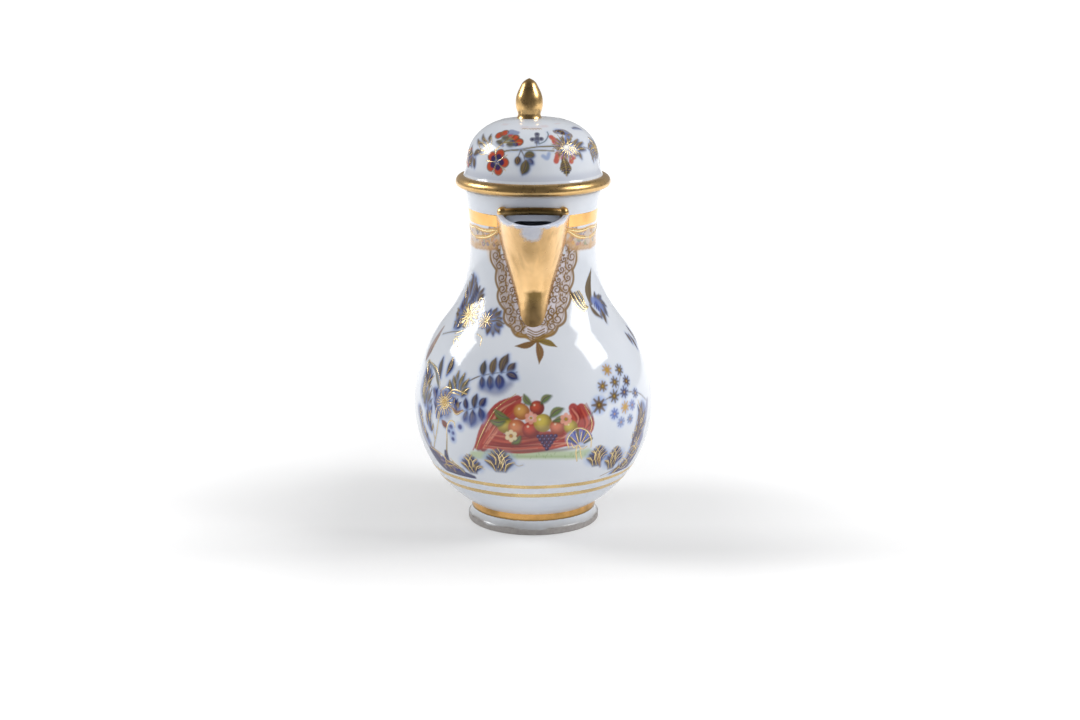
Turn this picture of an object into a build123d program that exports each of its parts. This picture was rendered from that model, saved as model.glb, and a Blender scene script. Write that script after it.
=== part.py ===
"""Covered milk jug: a pear-shaped porcelain pot on a turned foot, with a beak spout, a scroll handle
and a domed lid that lifts off.

Lengths are millimetres and angles are degrees. The jug stands on z = 0 with its turning axis on Z,
the spout towards -Y and the handle towards +Y. The foot, spout, lip, handle, lid rim, flange and
finial are each made on their own and luted on with slip, so each is a solid of its own that is cut
to the surface which carries it.
"""

import os
from math import asin, degrees, radians, sin, sqrt

from build123d import *

# Turned pot: a round belly, a shoulder arc and a hollow neck that flares to the mouth
floor_radius = 15.0
belly_radius = 39.0
shoulder_radius = 29.35
neck_foot_radius = 22.3
throat_radius = 20.4
mouth_radius = 22.4
floor_height = 4.0
belly_rise = 36.0
shoulder_rise = 27.5
neck_foot_rise = 12.5
throat_rise = 14.0
mouth_rise = 17.0
mouth_flare_angle = 15.0
pot_wall = 2.5
mouth_edge_round = 0.7
cutter_margin = 2.0

# Foot ring
foot_base_radius = 21.5
foot_waist_radius = 20.4
foot_wall = 3.0
foot_flare_height = 2.0
foot_edge_round = 0.5

# Beak spout: its sections are ellipses that widen upwards, and its ridge sags and then leans out
spout_drop = 5.8
spout_length = 35.2
spout_stand_out = 18.4
spout_tip_bury = 0.2
spout_ridge_sag = 4.7
spout_tip_half_width = 4.2
spout_half_width = 11.4
spout_width_power = 1.68
spout_root_depth = 2.0
spout_wall = 1.8
spout_mouth_fall = 3.0
spout_edge_round = 0.5
spout_channel_share = 0.14
spout_shares = [0, 0.08, 0.2, 0.4, 0.6, 0.8, 1.06]

# Rolled lip across the back of the spout's mouth, drooping to a bud at each end
lip_roll_radius = 1.2
lip_bud_radius = 1.75
lip_bud_inset = 1.9
lip_stand_off = 0.7
lip_droop_angle = 18.0

# Pouring opening through the pot's wall, inside the spout
pour_width = 14.0
pour_height = 11.0
pour_drop = 2.2
pour_corner_radius = 3.0

# Scroll handle: an oval strap from the neck out, down and back to the belly
handle_root_drop = 14.0
handle_crest_out = 9.2
handle_crest_rise = 6.2
handle_shoulder_out = 22.6
handle_shoulder_rise = 2.0
handle_bow_out = 28.2
handle_bow_drop = 13.5
handle_waist_gap = 4.6
handle_waist_rise = 22.0
handle_foot_rise = 7.5
handle_end_depth = 2.0
handle_root_width = 9.0
handle_root_thickness = 6.4
handle_foot_width = 7.0
handle_foot_thickness = 5.2
thumb_scroll_share = 0.17
thumb_scroll_out = 9.5
thumb_scroll_rise = 4.6
tail_scroll_share = 0.95
tail_scroll_out = 3.4
tail_scroll_drop = 7.4
scroll_neck_radius = 2.1
scroll_bud_radius = 2.8

# Lid: a domed cap on a moulded rim, with a flange that drops into the neck
rim_overhang = 2.5
rim_overhang_rise = 1.6
rim_thickness = 3.8
rim_shelf_thickness = 2.2
dome_base_radius = 22.4
dome_hip_radius = 21.5
dome_shoulder_radius = 20.3
dome_crown_radius = 15.0
dome_hip_rise = 3.6
dome_shoulder_rise = 5.6
dome_crown_rise = 6.0
dome_top_rise = 2.9
dome_wall = 2.4
flange_clearance = 0.4
flange_depth = 8.0
flange_wall = 2.2

# Finial: a bud with a blunt point on a waisted collar, set a little off the lid's centre as on the real lid
finial_offset = -1.2
collar_base_radius = 4.2
collar_waist_radius = 3.6
collar_height = 1.4
collar_root_depth = 1.0
bud_radius = 4.35
bud_belly_rise = 3.2
bud_shoulder_radius = 4.0
bud_shoulder_rise = 2.6
bud_point_radius = 2.75
bud_point_rise = 2.8
bud_tip_rise = 2.5

# Levels and radii that follow from the sizes above
belly_height = floor_height + belly_rise
shoulder_height = belly_height + shoulder_rise
neck_foot_height = shoulder_height + neck_foot_rise
throat_height = neck_foot_height + throat_rise
mouth_height = throat_height + mouth_rise
dome_base_height = mouth_height + rim_thickness
hip_height = dome_base_height + dome_hip_rise
dome_shoulder_height = hip_height + dome_shoulder_rise
crown_height = dome_shoulder_height + dome_crown_rise
dome_top_height = crown_height + dome_top_rise
collar_top = dome_top_height + collar_height


def arc_centre(end_radius, end_distance):
    """How far from the axis the belly's arc is centred, so that it is upright at the belly's widest
    and passes through a point of the given radius at the given distance above or below."""
    return (belly_radius**2 - end_radius**2 - end_distance**2) / (2 * (belly_radius - end_radius))


def arc_point(centre, arc_radius, height):
    """The point of a belly arc at a height, as radius and height."""
    return centre + sqrt(arc_radius**2 - (height - belly_height) ** 2), height


def pot_form(inset, top_margin):
    """The pot's turned form as one solid, drawn in by the inset and carried past the mouth."""
    lower_centre = arc_centre(floor_radius, belly_rise)
    upper_centre = arc_centre(shoulder_radius, shoulder_rise)
    lower_arc = belly_radius - inset - lower_centre
    upper_arc = belly_radius - inset - upper_centre
    share = 1 - inset / (belly_radius - upper_centre)
    floor_edge = arc_point(lower_centre, lower_arc, floor_height + inset)
    shoulder_end = arc_point(upper_centre, upper_arc, belly_height + shoulder_rise * share)
    slope = (belly_height - shoulder_end[1], shoulder_end[0] - upper_centre)
    flare = radians(mouth_flare_angle)
    with BuildPart() as form:
        with BuildSketch(Plane.XZ):
            with BuildLine():
                floor = Line((0, floor_height + inset), floor_edge)
                belly = ThreePointArc(
                    floor @ 1,
                    arc_point(lower_centre, lower_arc, belly_height - belly_rise / 2),
                    (belly_radius - inset, belly_height),
                )
                shoulder = ThreePointArc(
                    belly @ 1,
                    arc_point(upper_centre, upper_arc, belly_height + shoulder_rise / 2),
                    shoulder_end,
                )
                neck = Spline(
                    shoulder @ 1,
                    (neck_foot_radius - inset, neck_foot_height),
                    (throat_radius - inset, throat_height),
                    (mouth_radius - inset, mouth_height),
                    tangents=[slope, (sin(flare), 1)],
                )
                mouth = Line(neck @ 1, (mouth_radius - inset, mouth_height + top_margin))
                top = Line(mouth @ 1, (0, mouth_height + top_margin))
                Line(top @ 1, floor @ 0)
            make_face()
        revolve(axis=Axis.Z)
    return form.part


def pot_radius_at(height):
    """The pot's outer radius at a height, read from its solid."""
    probe = Edge.make_line((0, 0, height), (2 * belly_radius, 0, height))
    return probe.intersect(pot_outside).edges().sort_by(Axis.X)[-1].bounding_box().max.X


def spout_form(from_share, inset):
    """The beak as one solid from a share of its length up past its mouth, drawn in by the inset.
    Each section is widest near the line where the beak's flank meets the pot."""
    shares = [from_share] + [share for share in spout_shares if share > from_share]
    with BuildPart() as form:
        for share in shares:
            level = spout_tip_height + spout_length * share
            growth = sin(radians(90 * share)) ** spout_width_power
            half_width = spout_tip_half_width + (spout_half_width - spout_tip_half_width) * growth
            ridge = spout_tip_reach + (spout_mouth_reach - spout_tip_reach) * share
            ridge -= 4 * spout_ridge_sag * share * (1 - share)
            centre = sqrt(pot_radius_at(level) ** 2 - half_width**2) - spout_root_depth
            with BuildSketch(Plane.XY.offset(level)):
                with Locations((0, -centre)):
                    Ellipse(half_width - inset, ridge - centre - inset)
        loft()
    return form.part


def dome_form(inset):
    """The lid's dome as one solid on the rim's top, drawn in by the inset."""
    slant = inset * sin(radians(45))
    with BuildPart() as form:
        with BuildSketch(Plane.XZ):
            with BuildLine():
                side = Spline(
                    (dome_base_radius - inset, dome_base_height),
                    (dome_hip_radius - inset, hip_height),
                    (dome_shoulder_radius - inset, dome_shoulder_height),
                    (dome_crown_radius - slant, crown_height - slant),
                    (0, dome_top_height - inset),
                    tangents=[(-0.5, 1), (-1, 0)],
                )
                axis_line = Line(side @ 1, (0, dome_base_height))
                Line(axis_line @ 1, side @ 0)
            make_face()
        revolve(axis=Axis.Z)
    return form.part


os.makedirs("parts", exist_ok=True)

pot_outside = pot_form(0, 0.01)
pot_inside = pot_form(pot_wall, cutter_margin)
dome_outside = dome_form(0)

# Radii and places that the pot gives to the lid's flange, the spout and its lip
flange_base_height = mouth_height - flange_depth
neck_bore_radius = min(pot_radius_at(flange_base_height), mouth_radius) - pot_wall
flange_radius = neck_bore_radius - flange_clearance
flange_bore_radius = flange_radius - flange_wall
spout_mouth_height = mouth_height - spout_drop
spout_tip_height = spout_mouth_height - spout_length
spout_tip_reach = pot_radius_at(spout_tip_height) - spout_tip_bury
spout_mouth_reach = throat_radius + spout_stand_out
lip_height = spout_mouth_height + lip_roll_radius
lip_path_radius = pot_radius_at(lip_height) + lip_stand_off
lip_half_angle = degrees(asin((spout_half_width - lip_bud_inset) / lip_path_radius))

# Pot, hollowed to an even wall and opened behind the spout
with BuildPart() as body:
    add(pot_outside)
    split(bisect_by=Plane.XY.offset(mouth_height), keep=Keep.BOTTOM)
    add(pot_inside, mode=Mode.SUBTRACT)
    fillet(body.edges().group_by(Axis.Z)[-1], mouth_edge_round)
    with BuildSketch(Plane.XZ.offset(throat_radius / 2)):
        with Locations((0, spout_mouth_height - pour_drop - pour_height / 2)):
            RectangleRounded(pour_width, pour_height, pour_corner_radius)
    extrude(amount=throat_radius, mode=Mode.SUBTRACT)
body.part.label = "body"
export_step(body.part, "parts/body.step")

# Foot ring, waisted under the pot and flared to its standing edge
lower_centre = arc_centre(floor_radius, belly_rise)
waist_depth = sqrt((belly_radius - lower_centre) ** 2 - (foot_waist_radius - lower_centre) ** 2)
waist_height = belly_height - waist_depth
foot_bore_radius = foot_waist_radius - foot_wall
with BuildPart() as foot_ring:
    with BuildSketch(Plane.XZ):
        with BuildLine():
            standing = Line((foot_bore_radius, 0), (foot_base_radius - foot_edge_round, 0))
            corner = RadiusArc(standing @ 1, (foot_base_radius, foot_edge_round), -foot_edge_round)
            edge = Line(corner @ 1, (foot_base_radius, foot_flare_height))
            waist = Bezier(
                edge @ 1,
                (foot_waist_radius, foot_flare_height),
                (foot_waist_radius, waist_height),
            )
            riser = Line(waist @ 1, (foot_waist_radius, waist_height + cutter_margin))
            cap = Line(riser @ 1, (foot_bore_radius, waist_height + cutter_margin))
            Line(cap @ 1, standing @ 0)
        make_face()
    revolve(axis=Axis.Z)
    add(pot_outside, mode=Mode.SUBTRACT)
foot_ring.part.label = "foot_ring"
export_step(foot_ring.part, "parts/foot_ring.step")

# Rolled lip, following the neck round the back of the spout's mouth and tipped down at its ends
lip_start = Plane.XZ.rotated((0, 0, -90 - lip_half_angle))
lip_tipping_axis = Axis((0, -lip_path_radius, lip_height), (-1, 0, 0))
with BuildPart() as lip_roll:
    with BuildSketch(lip_start):
        with Locations((lip_path_radius, lip_height)):
            Circle(lip_roll_radius)
    revolve(axis=Axis.Z, revolution_arc=2 * lip_half_angle)
    with Locations(Plane.XY.offset(lip_height)):
        with PolarLocations(lip_path_radius, 2, -90 - lip_half_angle, 2 * lip_half_angle, endpoint=True):
            Sphere(lip_bud_radius)
with BuildPart() as spout_lip:
    add(lip_roll.part.rotate(lip_tipping_axis, lip_droop_angle))
    add(pot_outside, mode=Mode.SUBTRACT)
spout_lip.part.label = "spout_lip"
export_step(spout_lip.part, "parts/spout_lip.step")

# Beak spout, hollow down to the pouring opening and trimmed along its mouth
mouth_plane = Plane((0, -throat_radius, spout_mouth_height)).rotated((spout_mouth_fall, 0, 0))
with BuildPart() as spout:
    add(spout_form(0, 0))
    add(spout_form(spout_channel_share, spout_wall), mode=Mode.SUBTRACT)
    split(bisect_by=mouth_plane, keep=Keep.BOTTOM)
    fillet(spout.faces().sort_by(Axis.Z)[-1].edges(), spout_edge_round)
    add(pot_outside, mode=Mode.SUBTRACT)
    add(spout_lip.part, mode=Mode.SUBTRACT)
spout.part.label = "spout"
export_step(spout.part, "parts/spout.step")

# Handle: a tapering oval strap with a scroll for the thumb and a curled tail
handle_root_height = mouth_height - handle_root_drop
handle_foot_height = belly_height + handle_foot_rise
with BuildPart() as handle:
    with BuildLine(Plane.YZ) as strap_line:
        Spline(
            (pot_radius_at(handle_root_height) - handle_end_depth, handle_root_height),
            (throat_radius + handle_crest_out, handle_root_height + handle_crest_rise),
            (throat_radius + handle_shoulder_out, handle_root_height + handle_shoulder_rise),
            (throat_radius + handle_bow_out, handle_root_height - handle_bow_drop),
            (belly_radius + handle_waist_gap, belly_height + handle_waist_rise),
            (pot_radius_at(handle_foot_height) - handle_end_depth, handle_foot_height),
        )
    strap = strap_line.wire()
    with BuildSketch(Plane(strap @ 0, x_dir=(1, 0, 0), z_dir=strap % 0)):
        Ellipse(handle_root_width / 2, handle_root_thickness / 2)
    with BuildSketch(Plane(strap @ 1, x_dir=(1, 0, 0), z_dir=strap % 1)):
        Ellipse(handle_foot_width / 2, handle_foot_thickness / 2)
    sweep(path=strap, multisection=True)
    thumb_start = strap @ thumb_scroll_share
    thumb_end = thumb_start + Vector(0, thumb_scroll_out, thumb_scroll_rise)
    tail_start = strap @ tail_scroll_share
    tail_end = tail_start + Vector(0, tail_scroll_out, -tail_scroll_drop)
    for start, end, heading in (
        (thumb_start, thumb_end, strap % thumb_scroll_share),
        (tail_start, tail_end, Vector(0, 0, -1)),
    ):
        with BuildLine() as scroll_line:
            TangentArc(start, end, tangent=heading)
        scroll = scroll_line.wire()
        with BuildSketch(Plane(scroll @ 0, z_dir=scroll % 0)):
            Circle(scroll_neck_radius)
        sweep(path=scroll)
        with Locations(end):
            Sphere(scroll_bud_radius)
    add(pot_outside, mode=Mode.SUBTRACT)
handle.part.label = "handle"
export_step(handle.part, "parts/handle.step")

# Lid flange, a ring that keeps the lid centred in the neck
with BuildPart() as lid_flange:
    with BuildSketch(Plane.XY.offset(flange_base_height)):
        Circle(flange_radius)
        Circle(flange_bore_radius, mode=Mode.SUBTRACT)
    extrude(amount=flange_depth)
    fillet(lid_flange.edges().group_by(Axis.Z)[0], mouth_edge_round)
lid_flange.part.label = "lid_flange"
export_step(lid_flange.part, "parts/lid_flange.step")

# Lid rim, a half-round moulding that overhangs the pot's mouth
with BuildPart() as lid_rim:
    with BuildSketch(Plane.XZ):
        with BuildLine():
            seat = Line((flange_bore_radius, mouth_height), (mouth_radius, mouth_height))
            overhang = (mouth_radius + rim_overhang, mouth_height + rim_overhang_rise)
            under = Bezier(seat @ 1, (mouth_radius + rim_overhang, mouth_height), overhang)
            over = TangentArc(overhang, (dome_base_radius, dome_base_height), tangent=(0, 1))
            top = Line(over @ 1, (dome_base_radius - dome_wall, dome_base_height))
            shelf = Line(top @ 1, (flange_bore_radius, mouth_height + rim_shelf_thickness))
            Line(shelf @ 1, seat @ 0)
        make_face()
    revolve(axis=Axis.Z)
lid_rim.part.label = "lid_rim"
export_step(lid_rim.part, "parts/lid_rim.step")

# Lid dome, hollowed to an even wall
with BuildPart() as lid_dome:
    add(dome_outside)
    add(dome_form(dome_wall), mode=Mode.SUBTRACT)
lid_dome.part.label = "lid_dome"
export_step(lid_dome.part, "parts/lid_dome.step")

# Finial collar, cut to the dome's crown
finial_plane = Plane((finial_offset, 0, 0), x_dir=(1, 0, 0), z_dir=(0, -1, 0))
finial_axis = Axis((finial_offset, 0, 0), (0, 0, 1))
collar_root = dome_top_height - collar_root_depth
with BuildPart() as finial_collar:
    with BuildSketch(finial_plane):
        with BuildLine():
            root = Line((0, collar_root), (collar_base_radius, collar_root))
            skirt = Bezier(
                root @ 1,
                (collar_base_radius, dome_top_height),
                (collar_waist_radius, dome_top_height),
                (collar_waist_radius, collar_top),
            )
            head = Line(skirt @ 1, (0, collar_top))
            Line(head @ 1, root @ 0)
        make_face()
    revolve(axis=finial_axis)
    add(dome_outside, mode=Mode.SUBTRACT)
finial_collar.part.label = "finial_collar"
export_step(finial_collar.part, "parts/finial_collar.step")

# Finial bud, like a closed flower
bud_belly_height = collar_top + bud_belly_rise
bud_shoulder_height = bud_belly_height + bud_shoulder_rise
bud_point_height = bud_shoulder_height + bud_point_rise
with BuildPart() as finial_bud:
    with BuildSketch(finial_plane):
        with BuildLine():
            base = Line((0, collar_top), (collar_waist_radius, collar_top))
            bud_side = Spline(
                base @ 1,
                (bud_radius, bud_belly_height),
                (bud_shoulder_radius, bud_shoulder_height),
                (bud_point_radius, bud_point_height),
                (0, bud_point_height + bud_tip_rise),
                tangents=[(0.5, 1), (-1, 0.4)],
            )
            Line(bud_side @ 1, base @ 0)
        make_face()
    revolve(axis=finial_axis)
finial_bud.part.label = "finial_bud"
export_step(finial_bud.part, "parts/finial_bud.step")
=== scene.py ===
"""Looks for the covered milk jug: glaze, painting, gilding, studio and camera."""

import random
from functools import partial
from math import cos, degrees, pi, radians, sin

import bpy
import numpy as np
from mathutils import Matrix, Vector


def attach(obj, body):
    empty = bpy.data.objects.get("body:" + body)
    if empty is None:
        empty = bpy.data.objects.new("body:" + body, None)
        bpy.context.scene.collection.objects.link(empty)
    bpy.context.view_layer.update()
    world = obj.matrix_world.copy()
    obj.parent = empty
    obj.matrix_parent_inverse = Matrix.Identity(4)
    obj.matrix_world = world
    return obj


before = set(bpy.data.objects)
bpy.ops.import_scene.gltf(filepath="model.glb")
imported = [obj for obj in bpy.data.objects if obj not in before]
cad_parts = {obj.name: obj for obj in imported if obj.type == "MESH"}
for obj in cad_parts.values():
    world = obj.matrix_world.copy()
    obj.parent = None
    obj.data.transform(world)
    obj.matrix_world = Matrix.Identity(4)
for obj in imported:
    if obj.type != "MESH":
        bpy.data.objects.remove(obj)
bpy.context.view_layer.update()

# Lengths are written in millimetres and turned into metres with this
MM = 0.001

# The outlines are read from this far out, a little forward of the right side, clear of the handle
OUTSIDE = 100 * MM
READ_AT = radians(-20)

# How far the painting and gold lines, and the gold bands, stand off the glaze, in mm
SKIN = 0.04
BAND_LIFT = 0.07

# Colours of the painting, as sRGB hex
GLAZE = "DDE1E8"
HALO = "A0B4DC"
BLUE = "44538F"
DEEP_BLUE = "262C5E"
OLIVE = "6D5C3D"
BROWN = "5C4733"
RED = "C24B2C"
LILAC = "DAD3DA"


# Small tools

def colour(hex_code):
    """An sRGB hex colour as the linear RGBA that the nodes take."""
    out = []
    for start in (0, 2, 4):
        value = int(hex_code[start : start + 2], 16) / 255
        out.append(value / 12.92 if value <= 0.04045 else ((value + 0.055) / 1.055) ** 2.4)
    return (*out, 1.0)


def grain(size):
    """The scale of a noise whose clouds are about this many mm across."""
    return 1 / (size * MM)


def node(tree, kind, *values, **named):
    """Adds a shader node: values fill its inputs in order, lower-case names are settings, others inputs."""
    made = tree.nodes.new("ShaderNode" + kind)
    filled = [(number, value) for number, value in enumerate(values)]
    for name, value in named.items():
        if name.islower():
            setattr(made, name, value)
        else:
            filled.append((int(name[1:]) if name[1:].isdigit() else name.replace("_", " "), value))
    for socket, value in filled:
        if isinstance(value, bpy.types.Node):
            value = value.outputs[0]
        if isinstance(value, bpy.types.NodeSocket):
            tree.links.new(value, made.inputs[socket])
        else:
            made.inputs[socket].default_value = value
    return made


def new_material(name):
    """A material with an empty node tree, and the function that adds nodes to it."""
    made = bpy.data.materials.new(name)
    made.use_nodes = True
    made.node_tree.nodes.clear()
    return made, partial(node, made.node_tree)


# Studio

def studio_camera():
    """The camera that the jug's outline in the photograph was matched to."""
    lens = bpy.data.cameras.new("studio_camera")
    lens.lens = 69.6
    lens.sensor_width = 36
    camera = bpy.data.objects.new("studio_camera", lens)
    bpy.context.scene.collection.objects.link(camera)
    camera.location = (2.2 * MM, -665 * MM, 216 * MM)
    camera.rotation_euler = (radians(90 - 13.75), 0, 0)
    bpy.context.scene.camera = camera


def softbox(name, azimuth, elevation, width, height, watts, distance=0.9):
    """A square lamp at an angle round from the camera's side, looking at the jug's shoulder."""
    light = bpy.data.lights.new(name, "AREA")
    light.shape = "RECTANGLE"
    light.size, light.size_y = width, height
    light.energy = watts
    lamp = bpy.data.objects.new(name, light)
    bpy.context.scene.collection.objects.link(lamp)
    turn, lift = radians(azimuth), radians(elevation)
    away = Vector((sin(turn) * cos(lift), -cos(turn) * cos(lift), sin(lift))) * distance
    lamp.location = away + Vector((0, 0, 0.08))
    lamp.rotation_euler = (-away).to_track_quat("-Z", "Y").to_euler()


def studio():
    """White paper on a small table, a white surround behind, a darker room in front, two softboxes."""
    softbox("left_softbox", -97, 30, 0.36, 0.33, 3.9)
    softbox("right_softbox", 80, 36, 0.38, 0.4, 4.3)
    bpy.ops.mesh.primitive_plane_add(size=1, location=(0, 0, 0))
    table = bpy.context.object
    table.name = "paper_on_table"
    table_width, table_back, table_front = 1.9, 3.6, -0.25
    for corner in table.data.vertices:
        corner.co = (corner.co.x * table_width, table_back if corner.co.y > 0 else table_front, 0)

    # The paper that is seen glows a little, more with distance, so that it meets the white surround. The glow
    # is weaker in a band just in front of the jug, a painted shadow, and a little stronger towards the right,
    # painted light
    paper, add = new_material("white_paper")
    sheet = add("BsdfDiffuse", Color=colour("F4F4F4"))
    seen_sheet = add("BsdfDiffuse", Color=colour("DADADA"))
    path = add("LightPath").outputs
    place = add("TexCoord").outputs["Object"]
    longer = add("VectorMath", place, (0.42, 1, 1), operation="MULTIPLY")
    away = add("VectorMath", longer, operation="LENGTH").outputs["Value"]
    across, depth, _ = add("SeparateXYZ", place).outputs
    sides = add("Math", across, operation="ABSOLUTE")
    strength = add("MapRange", away, 0.02, 0.06, To_Min=0.23, To_Max=0.3)
    for value, low, high, kind, most in (
        (away, 0.06, 0.4, "ADD", 0.4), (depth, -0.01, -0.036, "SUBTRACT", 0.1),
        (depth, -0.045, -0.09, "ADD", 0.22), (sides, 0.06, 0.16, "ADD", 0.26),
        (across, 0.0, 0.06, "ADD", 0.035),
    ):
        strength = add("Math", strength, add("MapRange", value, low, high, To_Max=most), operation=kind)
    glow = add("Emission", Color=colour("FFFFFF"), Strength=strength)
    shown = add("Math", path["Is Camera Ray"], path["Is Glossy Ray"], operation="MAXIMUM")
    shown = add("Math", shown, path["Is Transmission Ray"], operation="MAXIMUM")
    add("OutputMaterial", add("MixShader", shown, sheet, add("AddShader", seen_sheet, glow)))
    table.data.materials.append(paper)

    # White to the camera, a darker room in what the glaze and gold mirror, a soft fill for the rest
    world = bpy.data.worlds.new("studio_room")
    bpy.context.scene.world = world
    world.use_nodes = True
    world.node_tree.nodes.clear()
    add = partial(node, world.node_tree)
    path = add("LightPath").outputs
    across, depth, height = add("SeparateXYZ", add("TexCoord").outputs["Generated"]).outputs
    room = 0.42
    for value, low, high, most in ((depth, 0.93, 0.72, 0.02), (depth, 0.5, -0.5, 0.28)):
        share = add("Math", add("MapRange", value, low, high), most, operation="MULTIPLY")
        room = add("Math", room, share, operation="SUBTRACT")
    above = add("Math", add("MapRange", height, 0.3, 0.8), 0.45, operation="MULTIPLY")
    room = add("Math", room, add("Math", 1.0, above, operation="SUBTRACT"), operation="MULTIPLY")
    soft_fill = add("MapRange", depth, 0.1, -1.0, To_Min=0.28, To_Max=0.66)
    soft_fill = add("Math", soft_fill, add("MapRange", height, 0.0, 1.0, To_Min=0.0, To_Max=0.12))
    soft_fill = add("Math", soft_fill, add("MapRange", across, -0.9, 0.9, To_Min=-0.12, To_Max=0.07))
    backdrop = add("Background", Color=colour("FFFFFF"), Strength=1.0)
    mirrored = add("Background", Color=colour("FFFFFF"), Strength=room)
    fill = add("Background", Color=(0.995, 1.0, 1.01, 1), Strength=soft_fill)
    shown = add("Math", path["Is Glossy Ray"], path["Is Transmission Ray"], operation="MAXIMUM")
    lighting = add("MixShader", shown, fill, mirrored)
    add("OutputWorld", add("MixShader", path["Is Camera Ray"], lighting, backdrop))


# Finishes

def glaze_surface(add, base, place):
    """Porcelain under a clear glaze that lies in faint waves, with a few fine pits."""
    # The waves are 11 mm across and bend what the glaze mirrors. Real pits are 0.1 mm across, too fine
    # to show, so they are drawn seven times as coarse, as specks in the highlights.
    waves = add("TexNoise", Vector=place, Scale=grain(11.11), Detail=2.0)
    pits = add("MapRange", add("TexNoise", Vector=place, Scale=grain(0.714), Detail=1.0), 0.68, 0.8)
    pits = add("Math", pits, 0.06, operation="MULTIPLY")
    bump = add("Bump", Height=add("Math", waves, pits, operation="SUBTRACT"), Strength=0.035, Distance=0.0006)
    rough = add("MapRange", waves, 0.2, 0.8, To_Min=0.08, To_Max=0.11)
    return add("BsdfPrincipled", Base_Color=base, Roughness=rough, IOR=1.5, Normal=bump)


def white_glaze():
    """Hard-paste porcelain under clear feldspar glaze: a cool, glossy white."""
    # Grey clouds 17 mm across, as in the real ware, keep the white alive to the eye
    made, add = new_material("white_porcelain_glaze")
    place = add("TexCoord").outputs["Object"]
    clouds = add("MapRange", add("TexNoise", Vector=place, Scale=grain(16.67), Detail=3.0), 0.3, 0.75)
    tint = add("Mix", data_type="RGBA", Factor=clouds, _6=colour(GLAZE), _7=colour("D6DDE8")).outputs[2]
    add("OutputMaterial", glaze_surface(add, tint, place))
    return made


def painted_glaze():
    """The same glaze over the painting, which is laid down as a colour at each point of the sheet."""
    # To the eye the colours sit under the gloss, in the same grey clouds as the bare glaze
    made, add = new_material("painted_porcelain_glaze")
    place = add("TexCoord").outputs["Object"]
    clouds = add("MapRange", add("TexNoise", Vector=place, Scale=grain(16.67), Detail=3.0), 0.3, 0.75)
    cloudy = (0.945, 0.957, 0.972, 1)
    tint = add("Mix", data_type="RGBA", Factor=clouds, _6=(1, 1, 1, 1), _7=cloudy).outputs[2]
    paint = add("VertexColor", layer_name="painting")
    base = add("Mix", data_type="RGBA", blend_type="MULTIPLY", Factor=1.0, _6=paint, _7=tint).outputs[2]
    add("OutputMaterial", glaze_surface(add, base, place))
    return made


def gold(add, tint, shade, rough, painted_shade_and_wear=0.0):
    """Burnished gold over glaze: fine brush marks, cloudy tarnish, and brown where painted shade, a painted
    reflection and wear darken it.
    """
    # Real brush marks are 0.2 mm across, too fine to show, so they are drawn ten times as coarse.
    # They break up the shine, and the tarnish, in clouds 6 mm across, gives warm and pale patches.
    place = add("TexCoord").outputs["Object"]
    marks = add("TexNoise", Vector=place, Scale=grain(2), Detail=2.0)
    clouds = add("MapRange", add("TexNoise", Vector=place, Scale=grain(6.25), Detail=4.0), 0.42, 0.72)
    tarnish = add("Math", clouds, 0.5, operation="MULTIPLY")
    base = add("Mix", data_type="RGBA", Factor=tarnish, _6=colour(tint), _7=colour(shade)).outputs[2]
    base = add("Mix", data_type="RGBA", Factor=painted_shade_and_wear, _6=base, _7=colour("6E5A34")).outputs[2]
    bump = add("Bump", Height=marks, Strength=0.03, Distance=0.0002)
    uneven = add("MapRange", marks, 0.25, 0.75, To_Min=0.75, To_Max=1.3)
    uneven = add("Math", uneven, rough, operation="MULTIPLY")
    return add("BsdfPrincipled", Base_Color=base, Metallic=1.0, Roughness=uneven, Normal=bump)


def gilding(name, tint, shade, rough):
    """Gold for the rim, finial, bands and painted lines."""
    made, add = new_material(name)
    add("OutputMaterial", gold(add, tint, shade, rough))
    return made


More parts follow.
